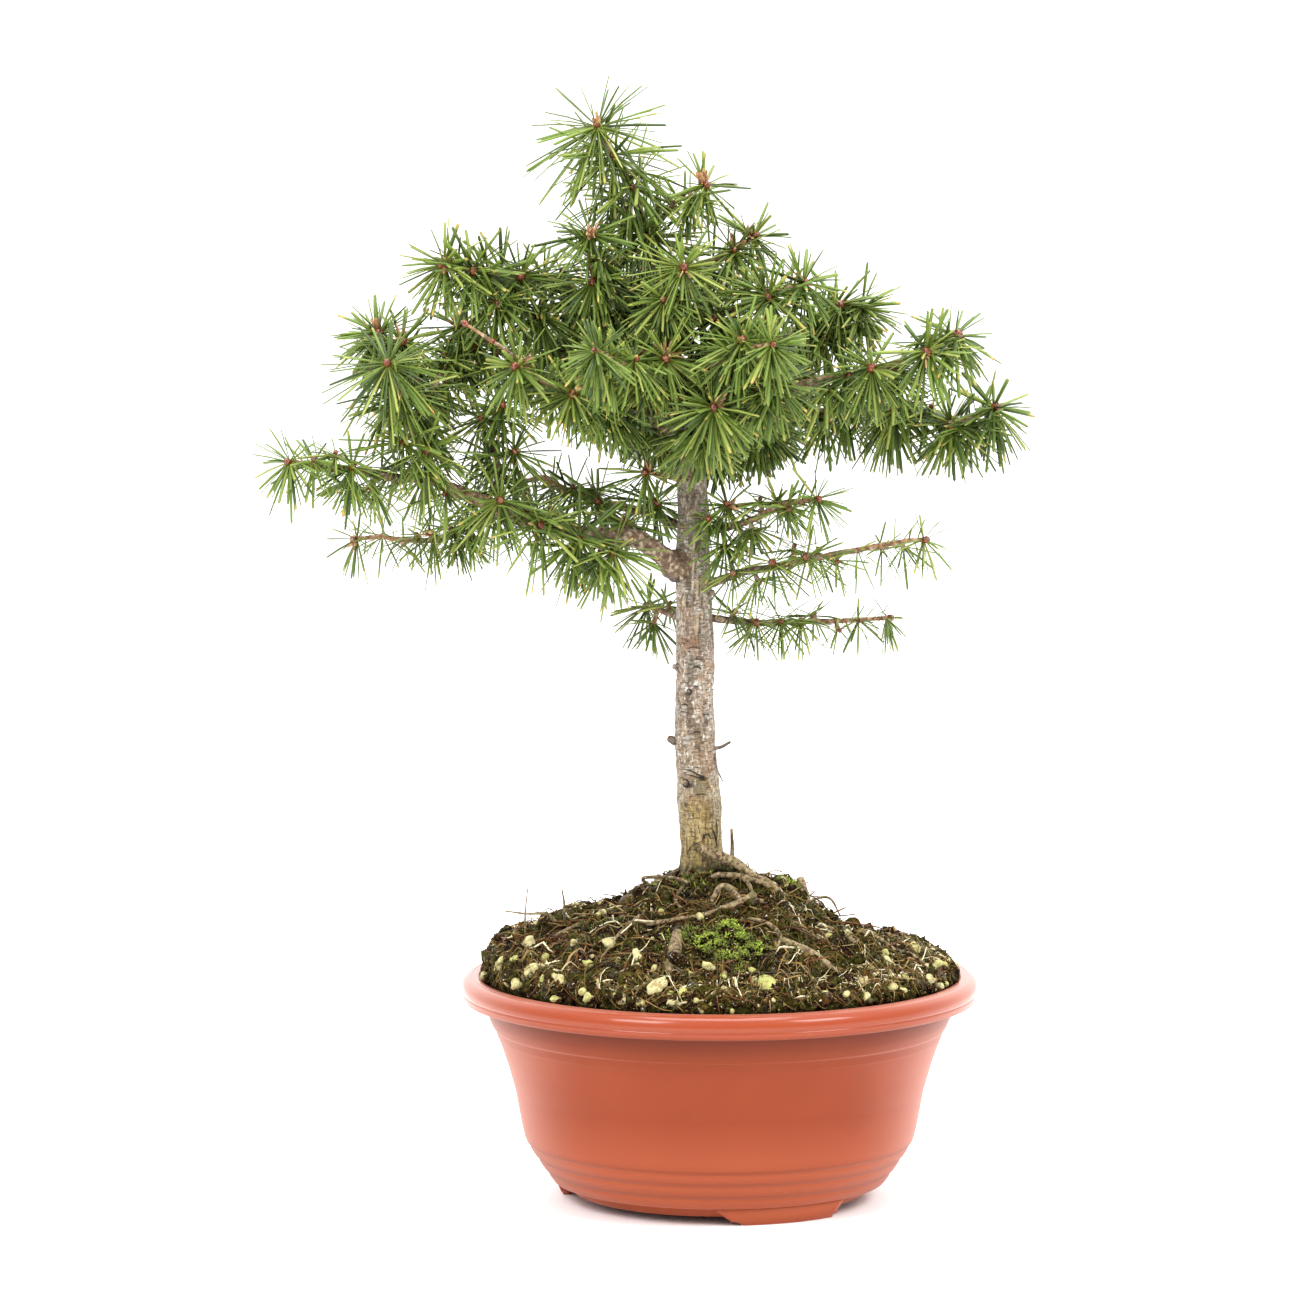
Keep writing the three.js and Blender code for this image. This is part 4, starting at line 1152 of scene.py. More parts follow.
@dataclass
class Mound:
    """The substrate heaped in the bowl, with what lies on it."""

    # Heights of the mound at distances from the axis, towards the right, back, left and front.
    reaches: tuple = (0, 10, 17, 24, 31, 38, 45, 52, 58, 64, 71, 78, 85, 92, 98, 102, 104.4)
    right: tuple = (
        150, 148, 144, 141, 138.5, 134.5, 129.5, 124, 120, 119, 119, 118, 115.5, 111.5, 108.5, 105,
        102,
    )
    back: tuple = (
        150, 148.5, 145, 141.5, 138.5, 135, 131.5, 128, 126, 124, 121, 118.5, 116, 112.5, 109, 105,
        102,
    )
    left: tuple = (
        150, 149, 145.5, 142, 139, 135.5, 131.5, 129.5, 129, 127.5, 124.8, 122.5, 119.5, 116, 114.5,
        112, 106,
    )
    front: tuple = (
        150, 149, 146, 143.5, 141.2, 138.5, 135.8, 133, 130.8, 128.5, 125, 121.5, 118, 113.5, 110,
        106, 102,
    )
    wall: tuple = ((92.9, 66.3), (84.7, 38.3), (71.7, 12.3))
    floor: float = 8.5
    rim: float = 104.4
    rings: int = 84
    segments: int = 300
    # The bank down to the lip: radius of its top, and height and further reach of its foot.
    bank_top: float = 98.5
    bank_foot: float = 100.8
    bank_reach: float = 0.078
    # Things further out than this lie at the rim, and those further right are paler.
    rim_zone: float = 96
    pale_side: float = 22
    # Dips, each a middle, half sizes and depth; the last one is a mossy clod that stands up.
    dips: tuple = (
        ((68, 45), (30, 38), 7.0), ((21, 16), (10, 14), 1.2), ((30, -6), (5.6, 6.0), -6.4),
    )
    # Sizes of clods: width of one, height of the largest, and seed.
    clods: tuple = ((12.5, 2.3, 3), (5.6, 1.5, 4), (2.5, 0.8, 5))
    # Crumbs, as a number, least and greatest radius, fineness and least reach.
    crumbs: tuple = (
        (2900, 0.7, 3.0, 1, 8), (110, 2.6, 5.0, 2, 8), (180, 1.8, 4.0, 1, 8),
        (1500, 1.0, 4.4, 1, 94),
    )
    # Numbers of crumbs and of granules on the bank.
    bank_crumbs: int = 1500
    bank_grit: int = 90
    # Numbers of fibres, of those that hang on the bank, and of dead needles.
    fibres: int = 3900
    hanging: int = 1400
    needles: int = 520
    # Points along a fibre.
    steps: int = 6
    # Small granules, as a number and two radii that they lie between.
    small: tuple = ((110, 30, 103), (110, 90, 104))
    # Granules in plain sight, as (x, y, radius), and the cushion that none lies in.
    granules: tuple = (
        (-28, -95, 5.2), (-80, -59, 4.2), (-70, -72, 4.4), (-90, -44, 4), (20, -94, 4.4),
        (47, -82, 4.2), (62, -77, 4), (66, -70, 4.4), (74, -52, 3.6), (86, -16, 3.8),
        (-36, -77, 3.2), (56, -28, 3.8), (-58, -68, 3), (-6, -75, 2.4), (14, -86, 2.6),
        (-16, -99, 2.8), (1, -100, 2.4), (33, -93, 3), (54, -86, 3), (47, -47, 2.8),
        (-9, -104, 2.6), (-53, -84, 3.4), (-57, -87, 3), (-35, -98, 2.8), (50, -53, 2.6),
        (81, -58, 3), (90, -38, 3), (72, -46, 2.8), (-77, -51, 3), (-64, -54, 2.8), (-84, -32, 3.6),
        (-49, -58, 3.2), (-29, -82, 2.4), (-14, -91, 2.2), (-96, -36, 3.4), (-90, -58, 3),
        (74, -70, 3), (95, -28, 3), (-36, -26, 3.2), (-9, -52, 2.4), (-84, -57, 3), (-72, -72, 2.8),
        (-60, -84, 3.3), (-43, -94, 3), (-20, -101, 2.8), (26, -100, 2.6), (45, -92, 3.1),
        (63, -82, 2.8), (79, -66, 3), (92, -47, 2.6),
    )
    cushion: tuple = (2, -72, 21, 16)
    rng: Random = seeded(41)

    def base(self, x: Array, y: Array) -> Array:
        """Height of the mound's plain shape.

        The profile of each side is read at the distance from the axis. With the angle a round
        the axis, the side ones count for the square of cos a, and the others for that of
        sin a. Dips of the form of a bell are taken off: e to the minus square of the distance
        from a dip's middle in half sizes.

        Args:
            x: Places towards the right.
            y: Places towards the back.

        Returns:
            The heights.
        """
        reach = np.hypot(x, y)
        aside = (x / np.maximum(reach, 1e-6)) ** 2
        right, back, left, front = (
            np.interp(reach, self.reaches, side)
            for side in (self.right, self.back, self.left, self.front)
        )
        dip = sum(
            depth * np.exp(-(((x - middle[0]) / half[0]) ** 2) - ((y - middle[1]) / half[1]) ** 2)
            for middle, half, depth in self.dips
        )
        height = np.where(x > 0, right, left) * aside + np.where(y > 0, back, front) * (1 - aside)
        return height - dip * np.clip((104 - reach) / 12, 0, 1)

    def rough(self, x: Array, y: Array) -> Array:
        """Clods of three sizes: twice the size of a noise, creased where it passes nothing."""
        noises = [(high, lattice_noise(x, y, wide, seed)) for wide, high, seed in self.clods]
        return np.sum([high * (2 * np.abs(noise) - 0.75) for high, noise in noises], axis=0)

    def height(self, x: Array, y: Array) -> Array:
        """Height of the mound: its plain shape plus the clods, lower at the rim and the trunk.

        Args:
            x: Places towards the right.
            y: Places towards the back.

        Returns:
            The heights.
        """
        reach = np.hypot(x, y)
        fade = np.clip((self.rim - reach) / 8, 0, 1) * np.clip(reach / 24, 0.3, 1)
        return self.base(x, y) + self.rough(x, y) * (0.2 + 0.8 * fade)

    def body(self) -> Skin:
        """The substrate: rings of corners from the floor up the wall, then in over the mound.

        Returns:
            Its skin, whose tone is lighter where it stands up and darker in its low creases, as
            painted shade.
        """
        rim = np.linspace(99, self.rim, 7)
        reach = np.concatenate([np.linspace(1.2, 98, self.rings), rim])[:, None]
        angle = np.linspace(0, FULL_TURN, self.segments, endpoint=False)
        x, y = reach * np.cos(angle), reach * np.sin(angle)
        wall = np.array(self.wall)
        sides = turned(wall[:, :1], angle, wall[:, 1:])
        rings = np.concatenate([np.stack([x, y, self.height(x, y)], axis=-1), sides])[::-1]
        # Painted shade: the tone falls in the mound's low creases and rises on its clods.
        tone = np.clip(0.3 + 0.24 * self.rough(x, y), 0, 0.9)
        tone = np.concatenate([tone, np.zeros(sides.shape[:2])])[::-1]
        start, end = [[0, 0, self.floor]], [[0, 0, float(self.height(0.0, 0.0))]]
        skin = ringed(rings[None], np.array(start), np.array(end))
        return skin.marked(tone=np.append(tone.ravel(), [0, 0]))

    def scattered(self, count: int, inner: float, outer: float) -> Array:
        """Random places on the mound, evenly spread between two radii, as (place, 2)."""
        reach = np.sqrt(self.rng.uniform(inner**2, outer**2, count))
        return turned(reach, self.rng.uniform(0, FULL_TURN, count), 0)[:, :2]

    def on_top(self, flat: Array, lift: Array | float) -> Array:
        """Flat places brought onto the mound, or above it by a lift."""
        return np.column_stack([flat, self.height(flat[:, 0], flat[:, 1]) + lift])

    def on_bank(self, angle: Array, drop: Array) -> Array:
        """Places on the bank at the rim.

        The way out goes evenly with the drop. The height falls from the mound's to the lip's
        by the drop to the power of 1.7, so the bank is rounded at its top.

        Args:
            angle: Angles round the axis.
            drop: Nothing at the top of the bank, and one at its foot on the lip.

        Returns:
            The places.
        """
        x, y = self.bank_top * np.cos(angle), self.bank_top * np.sin(angle)
        top = self.height(x, y)
        out = 1 + self.bank_reach * drop
        fall = (self.bank_foot - top) * np.clip(drop, 0, 1) ** 1.7
        return np.stack([x * out, y * out, top + fall], axis=-1)

    def crumb_skin(self, places: Array, size: Array, detail: int, power: float) -> Skin:
        """Crumbs of substrate.

        Args:
            places: Their middles.
            size: Their radii.
            detail: Fineness of each.
            power: Power of their random tones, which are darker where it is greater.

        Returns:
            Their skin.
        """
        half = size[:, None] * self.rng.uniform(0.55, 1.15, (len(size), 3))
        turns = random_turns(len(size), self.rng)
        skin = lump_skins(places, half, turns, detail, 0.17, self.rng)
        return skin.each_marked(tone=self.rng.random(len(size)) ** power)

    def sunk(self, count: int, low: float, high: float, detail: int, inner: float) -> Skin:
        """Crumbs and clods half sunk in the surface.

        Args:
            count: How many.
            low: Least radius.
            high: Greatest radius.
            detail: Fineness of each.
            inner: Least distance from the axis.

        Returns:
            Their skin.
        """
        size = low + (high - low) * self.rng.random(count) ** 2.2
        places = self.on_top(self.scattered(count, inner, 103.5), -0.1 * size)
        return self.crumb_skin(places, size, detail, 0.6 if inner > 90 else 1)

    def banked(self) -> Skin:
        """Crumbs that cover the bank down to the lip.

        Returns:
            Their skin.
        """
        rng, count = self.rng, self.bank_crumbs
        size = 0.7 + 1.8 * rng.random(count) ** 2.4
        places = self.on_bank(rng.uniform(0, FULL_TURN, count), rng.uniform(0.1, 1, count))
        return self.crumb_skin(places, size, 1, 0.8)

    def pumice(self) -> Skin:
        """The pale granules: those in plain sight by name, and many small ones at random.

        Returns:
            Their skin.
        """
        rng, named, bank = self.rng, np.array(self.granules, float), self.bank_grit
        few, many = (self.scattered(*kind) for kind in self.small)
        flat = np.concatenate([named[:, :2], few, many])
        small = 0.8 + 1.6 * rng.random(len(few) + len(many)) ** 2
        size = np.concatenate([named[:, 2] * 0.92, small])
        x, y, wide, deep = self.cushion
        clear = np.hypot((flat[:, 0] - x) / wide, (flat[:, 1] - y) / deep) > 1
        flat, size = flat[clear], size[clear]
        count = len(size)
        stretch = [rng.uniform(0.95, 1.3, count), rng.uniform(0.6, 0.95, (count, 2))]
        places = self.on_top(flat, size * rng.uniform(-0.1, 0.4, count))
        low = self.on_bank(rng.uniform(0, FULL_TURN, bank), rng.uniform(0.3, 0.95, bank))
        grit = 0.8 + 1.7 * rng.random(bank) ** 1.6
        half = size[:, None] * np.column_stack(stretch)
        half = np.concatenate([half, grit[:, None] * rng.uniform(0.7, 1.15, (bank, 3))])
        places, size = np.concatenate([places, low]), np.concatenate([size, grit])
        turns, tones = random_turns(len(size), rng), rng.random(len(size)) ** 1.1
        skins = []
        for detail, chosen in ((2, size > 1.8), (1, size <= 1.8)):
            skin = lump_skins(places[chosen], half[chosen], turns[chosen], detail, 0.16, rng)
            skins.append(skin.each_marked(tone=tones[chosen]))
        return merged(skins)

    def lying(self) -> Skin:
        """Fine roots and straws that lie over the surface in flat arcs.

        At share t a fibre has gone t times its length along its heading, has bowed to one
        side by its curl times t times 1 - t, and stands above the mound by an arch of the
        same form.

        Returns:
            Their skin.
        """
        rng, spans = self.rng, ((0.5, 10, 101), (0.17, 84, 102), (0.33, 96, 104))
        flat = [self.scattered(int(self.fibres * share), *span) for share, *span in spans]
        flat = np.concatenate(flat)
        count, at_rim = len(flat), np.hypot(flat[:, 0], flat[:, 1]) > self.rim_zone
        ahead = turned(1, rng.uniform(0, FULL_TURN, count), 0)[:, None, :2]
        aside = ahead[..., ::-1] * (-1, 1)
        long = 3 + 22 * rng.random(count) ** 2.2
        curl = rng.normal(0, 0.4, count) * long
        arch = np.abs(rng.normal(0, 0.9, count)) + np.where(rng.random(count) < 0.04, 2.6, 0)
        radius = rng.uniform(0.16, 0.42, count) * np.where(rng.random(count) < 0.12, 2.0, 1)
        arch += np.where(at_rim, rng.uniform(0.3, 1.4, count), 0)
        t = np.linspace(0, 1, self.steps)[None]
        bow = (curl[:, None] * t * (1 - t))[..., None]
        line = flat[:, None] + (long[:, None] * (t - 0.5))[..., None] * ahead + bow * aside
        line *= np.minimum(1, (self.rim - 1) / np.hypot(line[..., 0], line[..., 1]))[..., None]
        x, y = line[..., 0], line[..., 1]
        wave = 0.5 * lattice_noise(x + 40, y, 3.4, 9)
        height = self.height(x, y) + 0.7 + 4 * arch[:, None] * t * (1 - t) + wave
        power = np.where(flat[:, 0] > self.pale_side, 0.45, np.where(at_rim, 0.75, 1.15))
        return self.strands(np.stack([x, y, height], axis=-1), radius, rng.random(count) ** power)

    def draped(self) -> Skin:
        """Fine roots that hang and lie across the bank, each bowed out by up to two millimetres.

        Returns:
            Their skin.
        """
        rng, count, t = self.rng, self.hanging, np.linspace(0, 1, self.steps)[None]
        angle = rng.uniform(0, FULL_TURN, count)[:, None] + rng.normal(0, 0.07, (count, 1)) * t
        drop = rng.uniform(-0.4, 0.6, count)[:, None] + rng.uniform(-0.1, 0.7, (count, 1)) * t
        middles = self.on_bank(angle, np.clip(drop, -0.6, 1.02))
        bow = 4 * rng.uniform(0.1, 0.5, (count, 1)) * t * (1 - t) + 0.5
        sway = 0.6 * lattice_noise(middles[..., 0] + middles[..., 1], middles[..., 2], 2.8, 10)
        middles += (bow + sway)[..., None] * turned(1, angle, 0.9)
        radius = rng.uniform(0.14, 0.38, count)
        return self.strands(middles, radius, 0.12 + 0.8 * rng.random(count) ** 0.9)

    @staticmethod
    def strands(middles: Array, radius: Array, tones: Array) -> Skin:
        """Thin three-sided strands.

        Args:
            middles: Points of their middle lines, as (strand, step, 3).
            radius: Radius of each, which shrinks by six tenths of the square of the share.
            tones: Tone of each.

        Returns:
            Their skin.
        """
        t = np.linspace(0, 1, middles.shape[1])[None]
        tangents = unit(np.gradient(middles, axis=1))
        across = unit(np.cross(tangents, UP))
        lift = np.cross(tangents, across)
        angle = np.linspace(0, FULL_TURN, 3, endpoint=False)[:, None]
        outward = np.cos(angle) * across[:, :, None] + np.sin(angle) * lift[:, :, None]
        taper = (radius[:, None] * (1 - 0.6 * t**2))[..., None, None]
        skin = ringed(middles[:, :, None] + taper * outward, middles[:, 0], middles[:, -1])
        return skin.each_marked(tone=tones)

    def litter(self) -> Blades:
        """Dead needles that have dropped on the surface, some dark and some pale.

        Returns:
            The needles.
        """
        rng, count = self.rng, self.needles
        places = self.on_top(self.scattered(count, 12, 100), 0.9)
        directions = [rng.normal(size=(count, 2)), rng.uniform(-0.15, 0.3, count)]
        spans = ((6, 17), (0.25, 0.42), (-0.05, 0.25), (0, np.pi))
        shapes = [rng.uniform(*span, count) for span in spans]
        tones = np.where(rng.random(count) < 0.55, 0.27, 0.84) + rng.normal(0, 0.04, count)
        directions = unit(np.column_stack(directions))
        return Blades(places, directions, *shapes, tones, rng.random(count))

    def build(self) -> None:
        """Makes the mound and what lies on it."""
        skins = [self.body(), *(self.sunk(*kind) for kind in self.crumbs), self.banked()]
        make_piece("substrate", merged(skins), Earth().material(), "substrate", "soil")
        make_piece("pumice", self.pumice(), Granule().material(), "substrate", "soil")
        roots = merged([self.lying(), self.draped()])
        make_piece("fine_roots", roots, Fibre().material(), "substrate", "soil")
        litter = self.litter().skin(((0.0, 0.6), (0.3, 1.0), (0.75, 0.9)), 0.4)
        make_piece("dead_needles", litter, Fibre().material(), "substrate", "soil")


@dataclass
class Moss:
    """The bright cushion of moss, small pads, a dark film all over, and a seedling."""

    mound: Mound
    # The cushion: number of tufts, leaves in each, middle and half sizes.
    tufts: int = 230
    each: int = 15
    middle: tuple = (2, -71)
    half: tuple = (20, 16)
    # The hump under it: middle, half sizes and height.
    hump: tuple = (2, -72, 19, 14, 4.2)
    # Pads, as a middle, a spread and a number of leaves.
    pads: tuple = (((30, -8), 2.8, 420), ((-14, -12), 4.2, 300), ((-17, -66), (4.5, 3.5), 260))
    film: int = 3600
    # More film round the trunk's foot, in the form of a pad, outside a radius.
    foot: tuple = ((-8, -4), 10, 500)
    bare: float = 10
    # Where the seedling stands.
    seedling: tuple = (-31, -12)

    def cushion(self) -> tuple[Array, Array]:
        """Hearts of the cushion's tufts, one row for each leaf.

        Returns:
            The hearts as (leaf, 2), and how far each leaf stands from its heart.
        """
        rng = self.mound.rng
        turn, reach = rng.uniform(0, FULL_TURN, self.tufts), np.sqrt(rng.random(self.tufts))
        ring = np.stack([np.cos(turn), np.sin(turn)], axis=-1)
        hearts = self.middle + np.array(self.half) * reach[:, None] * ring
        x, y = hearts.T
        edge = lattice_noise(x, y, 8, 21) * 0.7 + lattice_noise(x, y, 2.6, 23) * 0.4
        hearts = np.repeat(hearts[reach + edge < 0.8], self.each, axis=0)
        return hearts, rng.normal(0, 0.42, hearts.shape)

    def films(self) -> Array:
        """Places of the dark film: in patches all over, and round the trunk's foot.

        Returns:
            The places as (leaf, 2).
        """
        film = self.mound.scattered(self.film, 10, 94)
        film = film[lattice_noise(film[:, 0], film[:, 1], 15, 22) > -0.05]
        middle, spread, count = self.foot
        foot = self.mound.rng.normal(middle, spread, (count, 2))
        outside = np.hypot(foot[:, 0] - middle[0], foot[:, 1]) > self.bare
        return np.concatenate([film, foot[outside]])

    def leaves(self) -> Blades:
        """All leaves. Those of the cushion spread from their tuft, and stand on the hump.

        Returns:
            The leaves.
        """
        rng, (hearts, spread) = self.mound.rng, self.cushion()
        first, tufts = len(hearts), len(hearts) // self.each
        shine, stand = (
            np.repeat(rng.uniform(*span, tufts), self.each) for span in ((0.35, 1.3), (-0.7, 1.2))
        )
        pads = [rng.normal(middle, wide, (count, 2)) for middle, wide, count in self.pads]
        spots = np.concatenate([hearts + spread, *pads, self.films()])
        count, x, y = len(spots), spots[:, 0], spots[:, 1]
        middle_x, middle_y, wide, deep, high = self.hump
        away = np.hypot((x - middle_x) / wide, (y - middle_y) / deep)
        waves = lattice_noise(x, y, 4.2, 24)
        raised = np.clip(1 - away**2, 0, 1) * high * (1 + 0.8 * waves)
        raised[:first] += stand
        bright = np.concatenate([shine, np.full(sum(map(len, pads)), 0.5)])
        bright = np.append(bright, np.zeros(count - len(bright))) * (0.68 + 0.8 * waves)
        bright = bright * rng.uniform(0.4, 1.15, count) + rng.uniform(0, 0.22, count)
        outward = np.column_stack([(spots - (middle_x, middle_y)) * 0.02, np.ones(count)])
        outward[:first, :2] += spread * 1.4
        wild, short = np.full((count, 1), 0.55), np.ones(count)
        wild[:first], short[:first] = 0.2, 0.72
        directions = unit(outward + wild * rng.normal(size=(count, 3)))
        spans = ((1.5, 4.2), (0.32, 0.62), (-0.2, 0.3), (0, np.pi))
        long, *shapes = (rng.uniform(*span, count) for span in spans)
        places, tones = self.mound.on_top(spots, raised - 0.6), np.clip(bright, 0, 1)
        return Blades(places, directions, long * short, *shapes, tones, rng.random(count))

    def sprout(self) -> Blades:
        """A seedling's stalk and its two round leaves, on the left of the mound.

        Returns:
            The stalk and the leaves.
        """
        foot = self.mound.on_top(np.array([self.seedling], float), -0.5)[0]
        head = foot + (0.4, -1.2, 4.4)
        return Blades(
            np.array([foot, head, head]),
            unit(np.array([[0.1, -0.25, 1], [-1, -0.3, 0.25], [1, -0.2, 0.3]])),
            *np.array([(4.8, 3.2, 3), (0.3, 1.3, 1.2), (0, 0, 0), (0, 0.4, -0.4), (0.6, 1, 1)]),
            np.zeros(3),
        )

    def build(self) -> None:
        """Makes the moss."""
        leaves = Blades.together([self.leaves(), self.sprout()])
        skin = leaves.skin(((0.0, 0.5), (0.55, 1.0)), 0.5)
        make_piece("moss", skin, MossLeaf().material(), "moss", "moss_front", "soil")


# ---- The trunk ----


@dataclass
class Trunk:
    """The trunk with its scars, knot, stubs and lenticels."""

    route: tuple = (
        (-8, 0, 125), (-8, 0, 150), (-9.3, 0, 181), (-10.9, 0, 206), (-11.2, 1, 228), (-11, 1, 250),
        (-12, 0, 286), (-12, 0, 313), (-14, 0, 335), (-19, 0, 361), (-23, 0, 388), (-28, 0, 410),
    )
    radii: tuple = (10.6, 9.6, 9.3, 8.8, 8.5, 7.9, 7.2, 6.5, 5.2, 4, 2.9)
    sides: int = 104
    step: float = 0.95
    # Share of the route at which the bark starts.
    start: float = 0.06
    # Scars, as (across from the middle line, height, half width, half height, rise).
    knots: tuple = (
        (-4.6, 207.5, 2.2, 2.4, 1.3), (1.8, 190, 1.6, 1.6, -0.9), (-4, 186.5, 2.6, 1.6, -1.0),
        (-2, 231.7, 2.6, 1.3, 0.5), (-3.4, 226.8, 1.3, 1.2, 0.8), (-2.2, 210.4, 1.2, 1.1, 0.6),
        (-2, 243, 3, 1.4, 0.5), (2.5, 165.6, 2.6, 1.6, 0.7), (-1, 158, 3.4, 2, -0.8),
        (5.6, 217.5, 1.4, 0.8, -0.5), (-6.5, 180, 3, 4, 1.3), (5.5, 176, 4, 5, 0.9),
    )
    # Pale shreds of bark, as (across from the middle line, height, half width, half height).
    shreds: tuple = (
        (0.2, 284, 0.7, 3.5), (1.7, 273.7, 0.7, 3.5), (-4.2, 268.4, 0.8, 3), (1.1, 258.7, 0.8, 4.5),
        (6.7, 284, 0.6, 6), (3.4, 262, 0.5, 2.4), (0.6, 296, 0.8, 5),
    )
    # Dark lines in the bark, as a radius and points (across from the middle line, height).
    lines: tuple = (
        (0.34, ((-6.0, 193.6), (-3, 193), (0, 191.6), (3, 190), (6.2, 188.6))),
        (0.3, ((-5.6, 191.4), (-3, 191), (0, 190.2), (3, 189), (6.2, 188))),
        (0.42, ((-6.6, 188.6), (-5.4, 189.2), (-4.2, 187.8), (-4.6, 186), (-6, 185.6),
         (-6.9, 186.8))),
        (0.28, ((-2, 182.2), (1, 182.8), (4, 182))),
        (0.3, ((2.2, 177.5), (4.6, 176.8), (7, 177.6))),
        (0.26, ((-7, 178), (-4.6, 177.2), (-3, 177.6))),
        (0.4, ((1.6, 163), (2.6, 166.2), (5, 166.8), (6.4, 163.6), (6.8, 159))),
        (0.2, ((-6.4, 155), (-5.2, 158.2), (-2.6, 160.4), (0.4, 161.6))),
        (0.3, ((-2.4, 230.2), (-0.6, 231), (1.4, 230.4))),
        (0.36, ((0.6, 161.8), (1.4, 164.4), (3.2, 164.8), (4.4, 162.6))),
        (0.24, ((7, 172), (7.4, 166), (6.9, 161))),
        (0.4, ((-3.6, 228.6), (-2.4, 229.4), (-1.3, 228.4), (-2, 227), (-3.4, 227.2))),
        (0.26, ((-5, 253), (-2, 254), (1.6, 253.2))),
        (0.3, ((-4.4, 250.4), (-1, 251.2), (2.2, 250.6))),
        (0.26, ((-3.6, 247.4), (-1, 248), (2, 247.2))),
        (0.3, ((-1.8, 242), (0.6, 243), (2.8, 242.2))),
        (0.36, ((-1.4, 238.6), (0.8, 239.6), (2.6, 238.4))),
        (0.24, ((3.6, 218.4), (5, 217.8), (6.4, 218.6))),
        (0.26, ((-1, 209.8), (0.6, 210.6), (2.4, 210))),
        (0.3, ((-6, 222), (-4.4, 222.6), (-3, 221.8))),
    )
    # Dead stubs, as points, radii and how hollow the end looks.
    stubs: tuple = (
        (((-12, 0, 203), (-19, -1, 205), (-22.5, -1, 206.5)), (3, 2.4, 1.5), 0.6),
        (((-10, -2, 270), (-5, -3, 271.4), (-3, -3, 272)), (2.4, 2, 1.3), 0.2),
        (((-6, -3, 202), (0, -5, 203), (4.5, -6, 205.5)), (0.9, 0.75, 0.6), 0.4),
        (((-12, -2, 236), (-18, -3, 238), (-20.5, -3, 239)), (2.2, 1.8, 1.1), 0.4),
        (((-2.4, -4, 200), (-1.2, -5, 193.5), (1.2, -6, 188)), (0.5, 0.4, 0.3), 0.7),
    )
    # Middle and half sizes of the swollen knot under the lowest limb.
    swelling: tuple = ((-18.0, -3, 283.5), (8.6, 7.1, 7.4))
    # Across from the middle line and height: middle and width of the rusty band.
    rusty: tuple = ((-3, 5), (249.5, 2.8))
    # Height below which the foot's ridges begin, and number of lenticels.
    foot_top: float = 176
    lenticels: int = 130
    rng: Random = seeded(52)

    def __post_init__(self) -> None:
        """Works out the middle line."""
        self.path = Path(self.route)

    def scarred(self, relief: Array, x: Array, level: Array) -> tuple[Array, Array, Array]:
        """Adds scars and shreds to the relief.

        A scar is a bump or a pit of the form of a bell, dark in a ring inside its edge. A
        shred is a flat leaning flake with a dark line on its right.

        Args:
            relief: The relief without them.
            x: Distances across from the middle line.
            level: Heights.

        Returns:
            The relief with them, how hollow the bark looks, and how shredded it is.
        """
        hollow, shred = np.zeros_like(relief), np.zeros_like(relief)
        for offset, height, wide, high, rise in self.knots:
            spot = np.hypot((x - offset) / wide, (level - height) / high)
            relief = relief + rise * np.exp(-(spot**2) * 1.4)
            dark = 0.75 if rise < 0 or wide < 2 else 0.3
            hollow = np.maximum(hollow, np.exp(-((spot - 0.55) ** 2) * 9) * dark)
        for offset, height, wide, high in self.shreds:
            lean = (x - offset - 0.08 * (level - height)) / wide
            shred = np.maximum(shred, np.exp(-(np.hypot(lean, (level - height) / high) ** 4)))
            line = 0.7 * bell(lean, 1.3, 0.45) * (np.abs(level - height) < high)
            hollow = np.maximum(hollow, line)
        return relief + 0.7 * shred, hollow, shred

    def skin(self) -> Skin:
        """The trunk's bark.

        A corner stands on the trunk's middle line at a height, out by the radius plus the
        relief. The relief is low wide waves, bands across, scars and shreds, a collar, and
        upright ridges and a flare that grow towards the foot.

        Returns:
            Its skin.
        """
        share = np.linspace(self.start, 1, int(self.path.length / self.step))[:, None]
        angle = np.linspace(-np.pi, np.pi, self.sides, endpoint=False)[None, :]
        middle = self.path.at(share[:, 0])
        level = middle[:, 2:]
        radius = values_along(self.radii, share) + 0 * angle
        # Seen from the front, what lies behind counts as far off.
        x = np.where(np.cos(angle) > 0, np.sin(angle) * radius, 99)
        waves = limb_noise(angle, level, 9, (0.35, 0.2), 7, 61)
        bands = lattice_noise(np.cos(angle) * 3 + 50, level + np.sin(angle) * 3, 1.9, 62)
        ridges = np.abs(lattice_noise(angle * 9 + 60 + 0.04 * level, level * 0.16, 1.3, 63))
        foot = np.clip((self.foot_top - level) / 30, 0, 1)
        relief = 0.55 * waves + 0.28 * bands * (1 - 0.5 * foot) - 1.1 * foot * (0.5 - ridges)
        relief, hollow, shred = self.scarred(relief, x, level)
        flare = 0.9 * np.clip((156 - level) / 12, 0, 1) ** 1.6
        radius = radius + relief + 0.4 * bell(level, self.foot_top, 9) + flare
        corners = middle[:, None] + from_front(radius, angle)
        skin = ringed(corners[None], middle[:1], middle[-1:])
        band = bell(level, *self.rusty[1]) * bell(x, *self.rusty[0]) * (0.75 + 0.5 * bands)
        low = np.clip((187 - level) / 24 + 0.35 * waves + 0.2 * bands, 0, 1) * 0.9
        shade = bell(x, 0.4, 3.6) * np.clip((268 - level) / 30, 0.35, 1)
        marks = {
            "rust": np.maximum(band, 0.35 * (waves > 0.45)),
            "stain": low + 0.12 * np.clip((214 - level) / 20, 0, 1),
            "moss": (155 - level) / 6 + 0.4 * waves,
            "hollow": hollow,
            "shade": shade + 0.4 * (waves < -0.4),
            "shred": shred,
        }
        clipped = {name: np.clip(grid, 0, 1).ravel() for name, grid in marks.items()}
        # The two points that shut the skin have no marks.
        return skin.marked(**{name: np.append(grid, [0, 0]) for name, grid in clipped.items()})

